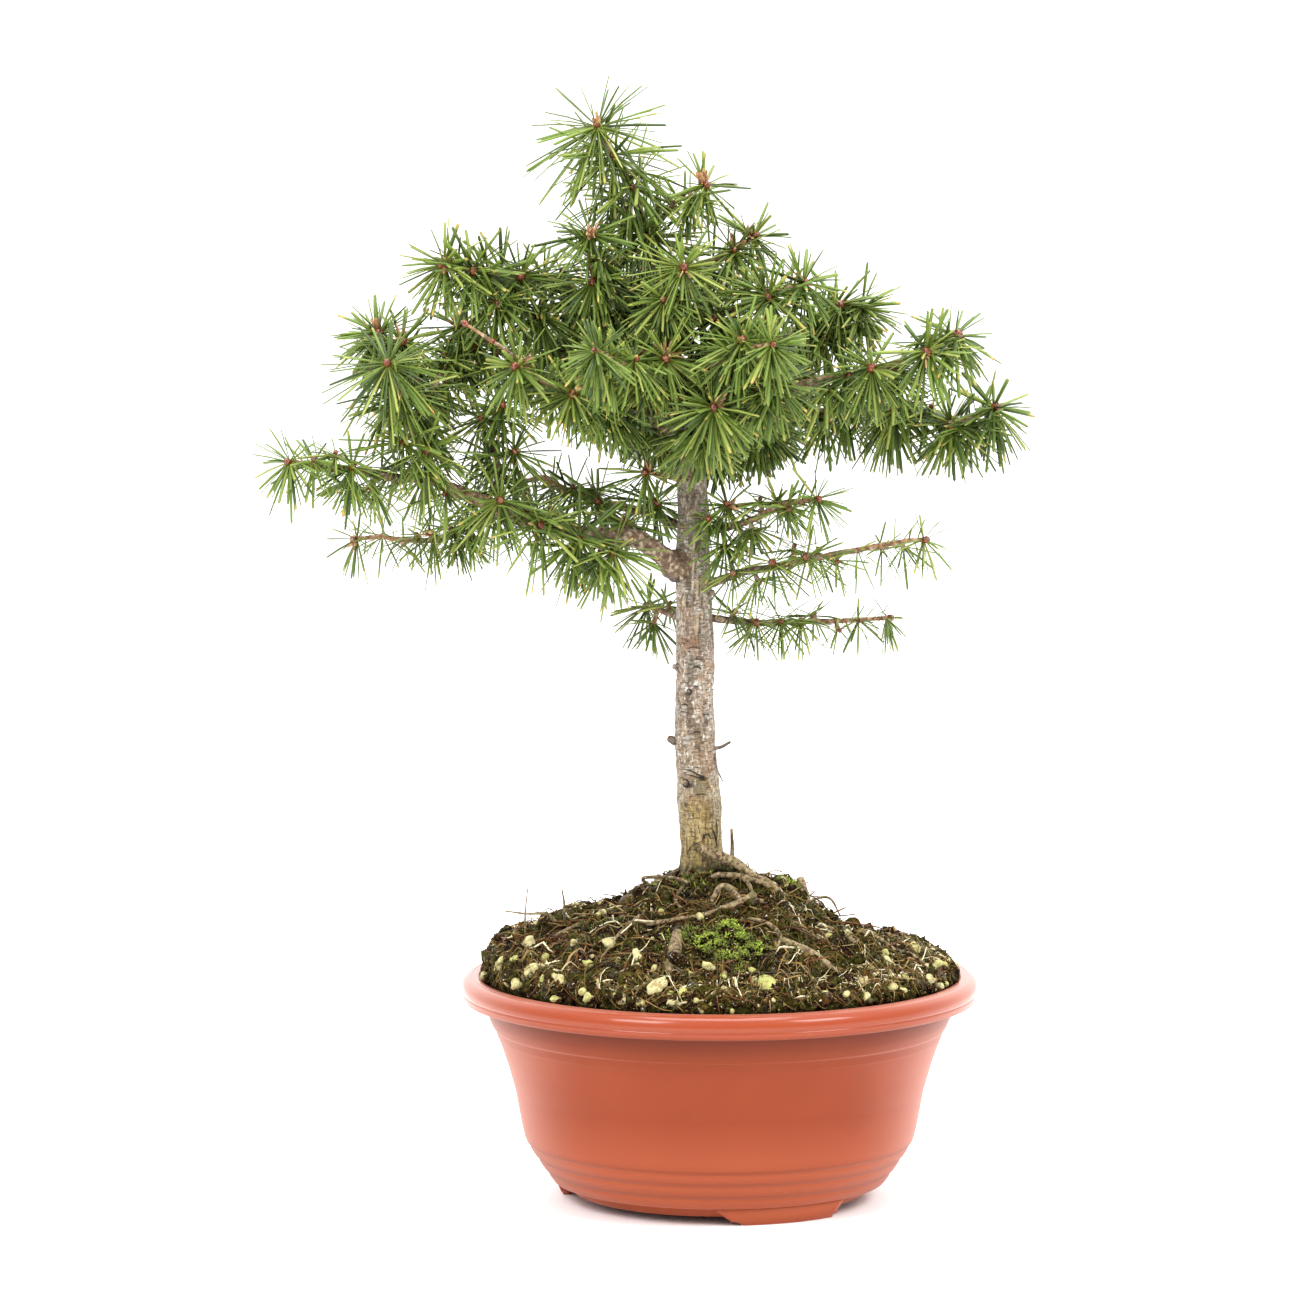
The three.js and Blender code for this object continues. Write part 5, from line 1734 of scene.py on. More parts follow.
    @staticmethod
    def plain(skin: Skin, hollow: Array | float, rust: float = 0.2, shade: float = 0.6) -> Skin:
        """Gives a skin just the marks that the bark's finish reads."""
        skin.marks.clear()
        return skin.marked(rust=rust, stain=0, moss=0, hollow=hollow, shade=shade, shred=0)

    def line(self, width: float, points: tuple, turn: float = 0.0, dark: float = 1.0) -> Skin:
        """A dark line in the bark.

        Args:
            width: Its radius.
            points: Points as (across from the middle line, height).
            turn: Angle by which it is carried round the trunk.
            dark: How dark it is, one being darkest.

        Returns:
            Its skin, half sunk in the bark.
        """
        x, height = np.array(points, float).T
        share = np.interp(height, self.path.points[:, 2], self.path.reach / self.path.length)
        radius = values_along(self.radii, share) + 0.32
        angle = np.arcsin(np.clip(x / radius, -0.95, 0.95)) + turn
        flat = self.path.at(share)[:, :2]
        route = Path(np.column_stack([flat, height]) + from_front(radius, angle), 8)
        return self.plain(limb_skin(route, (width * 0.5, width, width, width * 0.5), 5, 1.0), dark)

    def pores(self) -> list[Skin]:
        """The lenticels: short dark lines across the bark, all round.

        Returns:
            Their skins.
        """
        rng, count = self.rng, self.lenticels
        height, turn = rng.uniform(158, 330, count), rng.uniform(-np.pi, np.pi, count)
        half, lean = rng.uniform(0.6, 1.9, count), rng.normal(0, 0.3, count)
        width, t = rng.uniform(0.08, 0.2, count), np.array([-1, 0, 1])
        level = height[:, None] + t * lean[:, None] + 0.2 * (t == 0)
        routes = np.stack([t * half[:, None], level], axis=-1)
        return [self.line(*one, 0.7) for one in zip(width, routes, turn)]

    @staticmethod
    def swell(angle: Array, along: Array) -> Array:
        """One plus uneven waves round and along a stub."""
        return 1 + 0.16 * limb_noise(angle, along, 2, (0.5, 0.4), 1.1, 71)

    def stub(self, points: tuple, radii: tuple, hollow: float) -> Skin:
        """A short dead stub with a rough skin.

        Args:
            points: Its points.
            radii: Radii at even steps.
            hollow: How hollow its end looks.

        Returns:
            Its skin.
        """
        skin = limb_skin(Path(points), radii, 14, 0.6, self.swell)
        return self.plain(skin, hollow * skin.marks["along"])

    def knot(self) -> Skin:
        """The swollen knot under the lowest limb, ragged and dark below.

        Returns:
            Its skin.
        """
        place, half = np.array(self.swelling, float)[:, None]
        skin = lump_skins(place, half, np.eye(3)[None], 4, 0.035, self.rng)
        x, y, z = skin.corners.T
        low = np.clip((281 - z) / 5, 0, 1)
        rough = lattice_noise(x * 1.3 + y, z * 1.4 + y * 0.7, 1.7, 72)
        skin.corners += unit(skin.corners - place) * ((0.35 + 0.7 * low) * rough)[:, None]
        return self.plain(skin, np.clip(low * (0.9 + 0.6 * rough), 0, 1), 0.35, 0.9)

    def build(self) -> None:
        """Makes the trunk with its stubs and knot."""
        skins = [self.skin(), self.knot(), *(self.stub(*stub) for stub in self.stubs)]
        skins += [*(self.line(*line) for line in self.lines), *self.pores()]
        make_piece("trunk_bark", merged(skins), Bark().material(), "bark", "trunk")


@dataclass
class SurfaceRoots:
    """Roots that spring from the foot of the trunk, and woody bits that lie on the mound."""

    mound: Mound
    # Roots of the trunk, as points (x, y, height above the mound), radii and tone.
    grown: tuple = (
        (((-9, -4, 10), (-7, -9.6, 9.6), (-1, -12, 7.6), (7, -13, 5.8), (15, -15, 3.6),
         (22, -18, 3.4), (26.5, -21, 1.6), (31, -25, -3)), (2.6, 2.3, 2.1, 1.8, 1.5, 1.2), 0.8),
        (((-4, -13, -2), (-1, -15.5, 0.8), (2, -16.5, 1.4), (6, -17, 2.0), (11, -17.5, 3.0),
         (16, -18.5, 3.0), (21, -20, 3), (25, -22.5, 1.4), (28, -26, -3)),
         (1.3, 1.3, 1.2, 1.2, 1.0, 0.8), 0.7),
        (((9, -17, 2.2), (12, -20, 1.8), (13.6, -23, 0.2), (14.4, -25, -2)), (1.1, 1.0, 0.7), 0.6),
        (((-12, 2, 2), (-25, 6, 0.6), (-36, 2, -0.2), (-47, -6, -3.5)), (2.0, 1.2, 0.9), 0.2),
        (((-6, 4, 4), (2, 17, 1.8), (14, 27, 0.8), (22, 41, -3.5)), (3.2, 2.3, 1.7), 0.4),
        (((-10, 3, 3), (-18, 18, 1.4), (-32, 28, 0.5), (-44, 33, -3.5)), (3, 2.2, 1.6), 0.3),
    )
    # Loose pieces in the same form.
    loose: tuple = (
        (((15, -33, 2.6), (7, -42, 2.2), (-8, -50, 1.4), (-27, -51, 1.4), (-36, -45, -1.5)),
         (1.6, 1.4, 1.1, 0.8), 0.6),
        (((-19, -62, 0.6), (-20, -73, 1.4), (-22, -86, 0)), (2.2, 3.1, 2.6), 0.5),
        (((25, -61, -0.6), (33, -67, 1.4), (41, -70, 1.2), (50, -74, -1)), (1.9, 1.8, 1.4), 0.9),
        (((35.5, -5, 6.6), (36.5, -7, 4.8), (38, -11, 1.6), (41, -18, -3)), (1.5, 2.2, 2.3, 1.8),
         0.9),
        (((-30, 44, 0.4), (-8, 52, 1.4), (18, 50, 0.8), (34, 40, -1)), (1.9, 1.4), 0.4),
        (((-4, -37, -0.5), (0, -32, 3.8), (5, -33, 3.4), (8, -38, 2.6), (14, -39, -0.6)),
         (1.2, 1.4, 1.1), 0.6),
        (((16, -30, -1), (22, -36, 1.6), (30, -44, 1.2), (38, -50, -1)), (1.3, 1.2, 1), 0.5),
        (((-16, -20, 1.0), (-20, -30, 0.6), (-16, -42, 0.8), (-6, -48, -1)), (0.7, 0.6, 0.5), 0.3),
        (((-30, -16, -1), (-34, -34, 1.2), (-44, -52, 1), (-52, -64, -1)), (0.9, 0.9, 0.7), 0.5),
        (((46, -20, -1), (56, -36, 1.6), (60, -46, 1), (70, -52, -1)), (1, 1, 0.8), 0.6),
        (((-60, -20, -1), (-70, -30, 1), (-84, -36, 1)), (0.9, 0.8, 0.6), 0.5),
        (((12, -48, -0.6), (20, -52, 1.4), (26, -60, 1), (24, -70, -1)), (0.9, 1, 0.7), 0.7),
        (((78, -30, -1), (84, -34, 2.6), (92, -40, 2), (95, -46, -1)), (0.7, 0.7, 0.5), 0.5),
        (((40, -26, -1), (47, -30, 1.8), (55, -33, 1.4), (64, -36, -1)), (0.9, 1, 0.7), 1.0),
        (((52, -16, -1), (60, -22, 2), (70, -25, 1.6), (80, -32, -1)), (0.9, 0.9, 0.6), 0.9),
        (((34, -42, -1), (38, -50, 1.6), (46, -56, 1.4), (52, -64, -1)), (0.8, 0.8, 0.6), 1.0),
        (((4, 30, -1), (20, 44, 1.6), (40, 46, 1), (52, 60, -1)), (1.2, 1.2, 0.8), 0.4),
        (((-50, 20, -1), (-56, 40, 1.4), (-46, 60, 1), (-30, 72, -1)), (1.1, 1.1, 0.8), 0.5),
    )
    # Upright and jutting twiglets, as plain points.
    twiglets: tuple = (
        (((5, -2, 146), (5.5, -3, 156), (5.2, -3, 166)), (1.5, 0.9, 0.6), 0.3),
        (((-86, -12, 114), (-86.4, -13, 128), (-85.2, -13, 141)), (0.5, 0.4, 0.25), 0.4),
        (((-69, -14, 122), (-69, -15, 134), (-70, -15, 141)), (0.6, 0.5, 0.3), 0.2),
        (((-69, -13, 121), (-76, -16, 129.5), (-86, -18, 130.5), (-95, -20, 132)),
         (0.8, 0.7, 0.5, 0.35), 0.7),
        (((-30, -12, 141), (-34, -16, 146), (-22, -20, 147), (-14, -22, 145)), (0.8, 0.8, 0.6),
         0.1),
        (((38, -20, 135), (44, -23, 138.4), (49, -25, 138), (53, -26, 131)), (0.6, 0.6, 0.4), 0.3),
    )

    @staticmethod
    def swell(angle: Array, along: Array) -> Array:
        """One plus knuckles every few millimetres and wrinkles round the root."""
        wrinkles = limb_noise(angle, along, 1.6, (0.25, 0.18), 1.2, 81)
        return 1 + 0.16 * wrinkles + 0.13 * lattice_noise(along, 3 * np.cos(angle), 4.5, 82)

    def limb(self, points: tuple, radii: tuple, tone: float, lying: bool = True) -> Skin:
        """One root or twiglet.

        Args:
            points: Its points, with heights above the mound where it lies on it.
            radii: Radii at even steps.
            tone: The finish's tone.
            lying: Whether it lies on the mound.

        Returns:
            Its skin.
        """
        route = np.array(points, float)
        if lying:
            route[:, 2] += self.mound.base(route[:, 0], route[:, 1])
        return limb_skin(Path(route), radii, 12, 0.9, self.swell).marked(tone=tone)

    def build(self) -> None:
        """Makes the roots, joined by what carries them."""
        finish = RootBark().material()
        grown = [self.limb(*root) for root in self.grown]
        make_piece("trunk_roots", merged(grown), finish, "bark", "trunk")
        loose = [self.limb(*root) for root in self.loose]
        loose += [self.limb(*twiglet, lying=False) for twiglet in self.twiglets]
        make_piece("loose_roots", merged(loose), finish, "bark", "soil")


# ---- The sprays ----


class Foliage(Enum):
    """How thickly a spray is clothed."""

    LUSH = (46, 0.86, 0.36)
    OPEN = (34, 0.8, 0.42)
    AIRY = (28, 0.74, 0.42)
    SPARSE = (19, 0.56, 0.46)

    def __init__(self, needles: int, half_width: float, closeness: float) -> None:
        """Needles in a rosette, their half width, and the rosettes' share of the spacing."""
        self.needles, self.half_width, self.closeness = needles, half_width, closeness


@dataclass
class Hearts:
    """Hearts of rosettes: where each is, the unit axis that it opens along, how full it is."""

    places: Array
    axes: Array
    full: Array


@dataclass
class Spray:
    """One branch with its rosettes of needles.

    The route runs from the trunk, or from the limb that carries it, to the tip. Rosettes
    stand along it by the golden angle, on its tip, and on a spur at each of the stars.
    """

    name: str
    radii: tuple
    needle: float
    first: float
    spacing: float
    route: list
    stars: list = field(default_factory=list)
    foliage: Foliage = Foliage.LUSH
    withered: bool = False
    beyond: list = field(default_factory=list)
    # How full the rosette on the tip is, and those at the stars, and how light needles are.
    crest: float = 1.15
    bold: float = 1.2
    tone: float = 0.5
    # A rosette's distance from the twig, and how far it leans towards the tip.
    standoff: float = 2.2
    lean: float = 0.35
    # A rosette fuller than this has a large bud and may have dry remains.
    large: float = 1.12
    # Numbers of dry scales beside a bud and on a withered tip.
    scales: int = 5
    tip_scales: int = 22
    # Share of the length and share of the half width of each ring of a needle.
    stations: tuple = ((0.02, 0.72), (0.55, 1.0), (0.96, 0.78))

    def __post_init__(self) -> None:
        """Works out the path and the spray's own source of random numbers."""
        self.path = Path(self.route)
        seed = sum(ord(letter) * (place + 7) for place, letter in enumerate(self.name))
        self.rng = np.random.default_rng(seed)

    @staticmethod
    def around(tangents: Array, turn: Array, up: Array) -> Array:
        """Directions square to the twig: cos a times the upper one plus sin a times the level."""
        side, turn = unit(np.cross(tangents, up)), turn[:, None]
        return np.cos(turn) * np.cross(side, tangents) + np.sin(turn) * side

    def hearts(self) -> Hearts:
        """Where the rosettes stand.

        Returns:
            Their hearts.
        """
        gap = self.spacing * self.foliage.closeness
        along = np.arange(self.first, self.path.length - 0.5 * gap, gap)
        index = np.arange(len(along))
        share, odd = along / self.path.length, index % 2
        tangents = self.path.tangent(share)
        outward = self.around(tangents, index // 2 * GOLDEN_ANGLE + 0.6 + odd * 2.9, UP)
        spur = values_along(self.radii, share) + self.standoff
        spur = spur + odd * self.rng.uniform(0, 3, len(index))
        places = self.path.at(share) + outward * spur[:, None]
        axes = outward + self.lean * tangents
        full = np.where(odd == 0, 1.0, 0.8) * self.rng.uniform(0.75, 1.1, len(index))
        if self.foliage is Foliage.SPARSE:
            full *= 1.35 - 0.75 * share
        stars = np.array(self.stars, float).reshape(-1, 3)
        if len(stars):
            apart = np.linalg.norm(places[:, None] - stars[None], axis=-1).min(axis=1) > 7
            away = np.array([star - self.path.nearest(star)[0] for star in stars])
            places = np.concatenate([places[apart], stars])
            axes = np.concatenate([axes[apart], unit(away) * 0.6 + FRONT])
            full = np.append(full[apart], np.full(len(stars), self.bold))
        end = self.path.tangent(1.0)
        faces_front = self.route[-1][1] < 15 and self.crest > 1
        places = np.concatenate([places, [self.path.at(1.0) + end * self.standoff]])
        axes = np.concatenate([axes, [end + (0.85 * FRONT if faces_front else 0)]])
        return Hearts(places, unit(axes), np.append(full, self.crest))

    def needles(
        self, roots: Array, directions: Array, lengths: Array, wide: tuple, bend: float
    ) -> Blades:
        """Needles whose widths, bends, rolls, tones and ages are random.

        Args:
            roots: Where they spring from.
            directions: Their unit directions.
            lengths: Their lengths.
            wide: Least and greatest share of the foliage's half width.
            bend: Greatest bend.

        Returns:
            The needles.
        """
        rng, count = self.rng, len(roots)
        shapes = [self.foliage.half_width * rng.uniform(*wide, count)]
        shapes += [rng.uniform(0.0, bend, count), rng.normal(0, 0.7, count)]
        tones = np.clip(rng.normal(self.tone, 0.22, count) + rng.normal(0, 0.07), 0, 1)
        return Blades(roots, directions, lengths, *shapes, tones, rng.random(count) ** 2.0)

    def rosette(self, place: Array, axis: Array, full: float) -> Blades:
        """The needles of one rosette.

        The k-th of n needles leans from the axis by an angle that grows with the root of k
        over n, and each stands the golden angle round from the last.

        Args:
            place: The heart of the rosette.
            axis: The unit direction that it opens along.
            full: How full it is, one being usual.

        Returns:
            Its needles.
        """
        rng = self.rng
        count = max(5, int(self.foliage.needles * full))
        share = np.sqrt((np.arange(count) + 0.5) / count)
        fall = np.radians(26 + 72 * share + rng.normal(0, 8, count))[:, None]
        turn = np.arange(count) * GOLDEN_ANGLE + rng.uniform(0, 6) + rng.normal(0, 0.12, count)
        across = unit(np.cross(axis, ABOUT_UP))
        beside = np.cross(axis, across)
        level = np.cos(turn)[:, None] * across + np.sin(turn)[:, None] * beside
        straight = np.cos(fall) * axis + np.sin(fall) * level
        sag = rng.uniform(0.1, 0.6, (count, 1)) + rng.uniform(0, 0.3)
        directions = unit(straight - sag * UP)
        lengths = self.needle * (0.66 + 0.36 * share) * rng.uniform(0.78, 1.12, count)
        lengths = lengths * (1 - 0.16 * directions[:, 2]) * (0.7 + 0.3 * full)
        return self.needles(place + directions * 0.9, directions, lengths, (0.75, 1.1), 0.14)

    def shoot(self, reach: float) -> Blades:
        """Single needles round the last stretch of the twig, short and close.

        Args:
            reach: Length of the stretch.

        Returns:
            The needles.
        """
        count = int(reach * (1.5 if self.foliage is Foliage.LUSH else 0.8))
        share = 1 - np.linspace(0.02, 1, count) * reach / self.path.length
        tangents = self.path.tangent(share)
        outward = self.around(tangents, np.arange(count) * GOLDEN_ANGLE, ABOUT_UP)
        directions = unit(outward + tangents * self.rng.uniform(0.25, 0.9, (count, 1)))
        roots = self.path.at(share) + outward * self.radii[1] * 0.8
        lengths = self.needle * self.rng.uniform(0.45, 0.8, count)
        return self.needles(roots, directions, lengths, (0.7, 0.95), 0.15)

    @staticmethod
    def swell(angle: Array, along: Array) -> Array:
        """One plus rings of scale scars along the twig and unevenness round it."""
        rings = np.maximum(0, np.sin(along * 1.1 + 1.7 * np.sin(along * 0.23))) ** 4
        return 1 + 0.1 * rings + 0.1 * limb_noise(angle, along, 1.5, (0.2, 0.15), 1.3, 91)

    def spurs(self, hearts: Hearts) -> list[Skin]:
        """Short woody spurs from the twig to each rosette.

        Args:
            hearts: Hearts of the rosettes.

        Returns:
            The spurs' skins.
        """
        skins = []
        for place, axis in zip(hearts.places, hearts.axes):
            root, share = self.path.nearest(place)
            if np.linalg.norm(place - root) > 1.2:
                path = Path([root, 0.5 * (root + place) - 0.2 * axis, place], 6)
                skins.append(limb_skin(path, (1.15, 1.0, 1.35), 7, 1.1).marked(along=share))
        return skins

    def buds(self, hearts: Hearts) -> Skin:
        """A bud in the heart of each rosette, larger in a full one.

        Args:
            hearts: Hearts of the rosettes.

        Returns:
            The buds' skin.
        """
        size = np.where(hearts.full > self.large, 2.15, 1.5)
        size = self.rng.uniform(0.85, 1.1, len(size)) * size
        size *= 1.0 if self.foliage is Foliage.LUSH else 0.78
        half, turns = size[:, None] * (1, 1, 1.15), axis_turns(hearts.axes, self.rng)
        return lump_skins(hearts.places + hearts.axes * 1.7, half, turns, 2, 0.025, self.rng)

    def remains(self, hearts: Hearts) -> Blades:
        """Dry scales and needle stumps beside the buds of full rosettes and on a withered tip.

        Args:
            hearts: Hearts of the rosettes.

        Returns:
            The scales.
        """
        rng, places = self.rng, hearts.places
        rows = (hearts.full > self.large) & (rng.random(len(places)) < 0.3)
        rows = np.repeat(np.flatnonzero(rows), self.scales)
        if self.withered:
            rows = np.append(rows, np.full(self.tip_scales, len(places) - 1))
        beside = unit(rng.normal(size=places.shape))[rows]
        stray = rng.normal(0, 0.45, (len(rows), 3))
        directions = unit(hearts.axes[rows] * 0.5 + beside * 0.9 + UP * 0.15 + stray)
        spans = ((3.2, 8.5), (0.6, 1.6), (-0.4, 0.4), (0, np.pi), (0, 1), (0, 1))
        shapes = [rng.uniform(*span, len(rows)) for span in spans]
        return Blades(places[rows] + beside * 1.2, directions, *shapes)

    def build(self, finishes: dict[str, Material]) -> tuple[Skin, Blades]:
        """Makes the needles and the wood of the spray.

        Args:
            finishes: The materials by name.

        Returns:
            Its buds and its dry remains, for which all sprays share one piece each.
        """
        node, hearts = "spray_" + self.name, self.hearts()
        bundles = [self.rosette(*one) for one in zip(*vars(hearts).values())]
        bundles.append(self.shoot(min(20, 0.4 * self.path.length)))
        needles = Blades.together(bundles).skin(self.stations, 0.42)
        make_piece("needles_" + self.name, needles, finishes["needle"], "needles", node)
        wood = [limb_skin(self.path, self.radii, 10, 1.4, self.swell), *self.spurs(hearts)]
        buds = [self.buds(hearts)]
        if self.beyond:
            bare = Path(self.beyond)
            wood.append(limb_skin(bare, (1.0, 0.8, 0.6), 8, 1.2))
            at, ahead = bare.at(np.array([0.5, 0.9])), bare.tangent(np.array([0.55, 0.95]))
            buds.append(self.buds(Hearts(at, ahead, np.ones(2))))
        make_piece("twig_" + self.name, merged(wood), finishes["twig"], "bark", node)
        return merged(buds), self.remains(hearts)


def larch_sprays() -> list[Spray]:
    """All branches of the tree, from its leader down.

    Returns:
        The branches.
    """
    open_, airy, sparse = Foliage.OPEN, Foliage.AIRY, Foliage.SPARSE
    return [
        Spray("leader", (2.6, 1.3), 29, 14, 23, [[-29, 0, 414], [-33, -1, 430], [-39, -3, 451],
            [-46, -3, 463], [-53, -4, 476]], [[-39, -9, 452], [-33, -8, 431], [-47, -8, 466]],
            open_, crest=1.75, bold=1.35),
        Spray("crown_right", (1.5, 1), 20, 16, 17, [[-32, -2, 428], [-24, -6, 440], [-16, -10, 449],
            [-9, -12, 452]], [], airy, withered=True),
        Spray("crown_left", (2, 1.2), 23, 14, 23, [[-27, 3, 401], [-42, -10, 404], [-53, -18, 409],
            [-57, -22, 420], [-57, -24, 430]], [[-56, -25, 412]], withered=True),
        Spray("upper_left", (2.6, 1.3), 23, 24, 24, [[-26, 4, 394], [-53, 8, 401], [-71, 2, 406],
            [-88, -6, 413], [-109, -12, 416], [-119, -16, 418]], [[-109, -19, 416], [-88, -13, 413],
            [-98, -16, 402], [-80, -8, 396]], withered=True),
        Spray("upper_right", (2, 1.2), 22, 14, 23, [[-26, 0, 406], [-9, 8, 415], [6, 12, 422],
            [13, 14, 427]], [[6, 5, 423]], open_, withered=True),
        Spray("front_high", (1.8, 1.3), 23, 20, 24, [[-26, -4, 402], [-21, -22, 410],
            [-17, -38, 418]]),
        Spray("right_high", (2.1, 1.2), 22, 20, 23, [[-23, -4, 386], [-9, -14, 393], [5, -24, 399],
            [21, -32, 406], [34, -36, 411]], [[21, -39, 406], [-2, -27, 396]]),
        Spray("right_upper", (2.5, 1.3), 23, 18, 24, [[-21, 4, 372], [0, 14, 374], [22, 22, 379],
            [42, 24, 391], [55, 22, 398], [61, 20, 397]], [[53, 16, 398], [46, 18, 384]]),
        Spray("right_mid", (2.8, 1.3), 23, 20, 27, [[-18, 0, 359], [9, -6, 360], [35, -14, 365],
            [57, -20, 370], [79, -22, 376], [91, -20, 380], [101, -18, 386]], [[66, -27, 374],
            [90, -27, 381]]),
        Spray("right_low", (3.2, 1.3), 23, 20, 26, [[-15, 2, 341], [16, 18, 345], [36, 22, 348],
            [58, 22, 350], [77, 18, 350], [97, 12, 347], [108, 8, 347], [119, 6, 352]],
            [[16, 10, 346], [77, 11, 351], [102, 4, 346]]),
        Spray("front_low", (2.2, 1.4), 24, 18, 23, [[-13, -10, 338], [-9, -34, 347],
            [-4, -62, 359]], withered=True),
        # Its low tone darkens the needles as painted shade deep in the crown.
        Spray("front_low_right", (2.2, 1.3), 22, 18, 23, [[-14, -8, 349], [-3, -30, 358],
            [10, -48, 365], [22, -58, 369]], tone=0.28),
        Spray("front_mid", (2, 1.3), 23, 22, 23, [[-22, -6, 378], [-23, -30, 380], [-24, -48, 380]],
            withered=True),
        Spray("front_upper", (1.8, 1.2), 20, 22, 23, [[-25, -6, 389], [-25, -26, 397],
            [-25, -40, 404]]),
        Spray("left_mid", (2.4, 1.3), 20, 22, 24, [[-17, -4, 351], [-33, -16, 353], [-50, -26, 359],
            [-65, -36, 363], [-77, -42, 369], [-87, -46, 375]], [[-50, -33, 359], [-65, -43, 364]],
            withered=True, beyond=[[-86, -46, 374], [-92, -46, 382], [-101, -46, 388],
            [-113, -46, 396]]),
        Spray("left_bare", (2.2, 1.1), 21, 22, 24, [[-22, 4, 378], [-44, 14, 377], [-66, 16, 377],
            [-84, 10, 373], [-92, 8, 375], [-106, 6, 383], [-113, 4, 388]]),
        Spray("left_low", (4.8, 1.6), 25, 34, 28, [[-16, -4, 281], [-29, -12, 292], [-40, -16, 298],
            [-57, -20, 299], [-79, -22, 304], [-97, -24, 312], [-110, -24, 317], [-125, -24, 324],
            [-130, -26, 337], [-138, -30, 353], [-143, -34, 366], [-145, -40, 375]],
            [[-79, -30, 305], [-47, -26, 293], [-129, -33, 338], [-97, -31, 316], [-62, -28, 299],
            [-140, -38, 364], [-139, -35, 342]], open_, crest=1.8),
        Spray("left_top", (1.8, 1.2), 19, 14, 21, [[-135, -22, 346], [-130, -14, 358],
            [-123, -8, 369], [-117, 0, 374]]),
        Spray("left_top_back", (1.8, 1.2), 21, 16, 23, [[-138, -24, 353], [-137, -12, 367],
            [-140, -4, 381], [-150, 2, 384]], [[-150, -6, 387], [-140, -12, 384]]),
        Spray("left_outer", (2.2, 1.3), 20, 16, 23, [[-128, -26, 325], [-143, -32, 326],
            [-161, -38, 330], [-171, -42, 331], [-186, -46, 334]], [[-161, -44, 332]], airy),
        Spray("left_under", (1.7, 1), 17, 12, 20, [[-97, -20, 309], [-110, -6, 302], [-120, 2, 296],
            [-128, 6, 294], [-142, 10, 294], [-150, 12, 295], [-159, 14, 294]], [[-112, -8, 304],
            [-118, -5, 300], [-127, -2, 297]], sparse, bold=1.6),
        Spray("left_shoot", (1.7, 1.1), 20, 12, 17, [[-98, -21, 312], [-98, -16, 321],
            [-99, -12, 332], [-101, -10, 341], [-99, -8, 351]], [[-91, -18, 336], [-96, -15, 356],
            [-105, -13, 350]], airy, bold=1.4),
        Spray("left_inner", (2.4, 1.2), 20, 16, 21, [[-20, 4, 301], [-31, 12, 306], [-40, 16, 307],
            [-53, 20, 310], [-69, 22, 315], [-77, 22, 320], [-84, 24, 319]], [[-54, 13, 311],
            [-28, 2, 311]], airy),
        Spray("left_spur", (1.4, 1), 21, 99, 21, [[-16, -8, 322], [-24, -16, 325], [-31, -22, 327]],
            [], airy),
        Spray("left_back_low", (1.5, 1), 18, 16, 16, [[-18, 6, 260], [-24, 20, 260],
            [-31, 34, 261]], [], airy),
        Spray("front_spur", (1.3, 1), 13, 99, 21, [[-8, -6, 305], [-6, -14, 306]], [], sparse),
        Spray("right_first", (1.8, 1.1), 17, 10, 17, [[-6, -4, 300], [1, -10, 301], [14, -18, 306],
            [27, -24, 313], [40, -30, 316]], [[3, -14, 312], [2, -13, 294]], airy),
        Spray("right_second", (2, 1), 17, 12, 21, [[-4, -4, 276], [11, -10, 282], [21, -14, 284],
            [38, -18, 288], [55, -22, 292], [79, -26, 297], [87, -28, 298]], [[6, -13, 282],
            [23, -18, 287], [38, -22, 290]], sparse, bold=1.5),
        Spray("right_third", (1.8, 0.9), 15, 10, 21, [[-5, 2, 260], [16, 8, 257], [36, 12, 257],
            [51, 14, 257], [72, 16, 258]], [[16, 4, 258], [27, 7, 258], [36, 9, 258]], sparse,
            bold=1.35),
        Spray("back_high", (1.8, 1.2), 22, 18, 21, [[-27, 6, 401], [-31, 30, 403], [-33, 52, 406]]),
        Spray("back_left", (2.2, 1.2), 23, 20, 25, [[-24, 5, 389], [-35, 35, 382], [-49, 60, 375],
            [-63, 82, 374]]),
        Spray("back_right", (2.2, 1.2), 23, 20, 25, [[-18, 5, 358], [-7, 32, 364], [7, 58, 366],
            [21, 82, 364]]),
        Spray("back_mid", (2.4, 1.3), 23, 20, 25, [[-16, 6, 347], [-18, 40, 346], [-21, 70, 346],
            [-23, 95, 349]]),
        Spray("back_low_right", (2.2, 1.2), 22, 20, 25, [[-13, 6, 334], [0, 36, 337], [12, 60, 339],
            [24, 80, 342]]),
        Spray("back_low_left", (2.2, 1.2), 22, 20, 25, [[-15, 6, 338], [-27, 36, 342],
            [-40, 62, 347], [-54, 84, 352]]),
        Spray("front_left", (2.2, 1.2), 22, 22, 23, [[-21, -5, 370], [-31, -34, 373],
            [-42, -58, 378], [-53, -76, 385]], crest=0.9),
        Spray("front_right", (2.2, 1.2), 22, 22, 23, [[-17, -5, 364], [-7, -34, 373], [8, -58, 384],
            [20, -76, 388]], [[9, -64, 389]], crest=0.9),
    ]


# ---- The studio ----


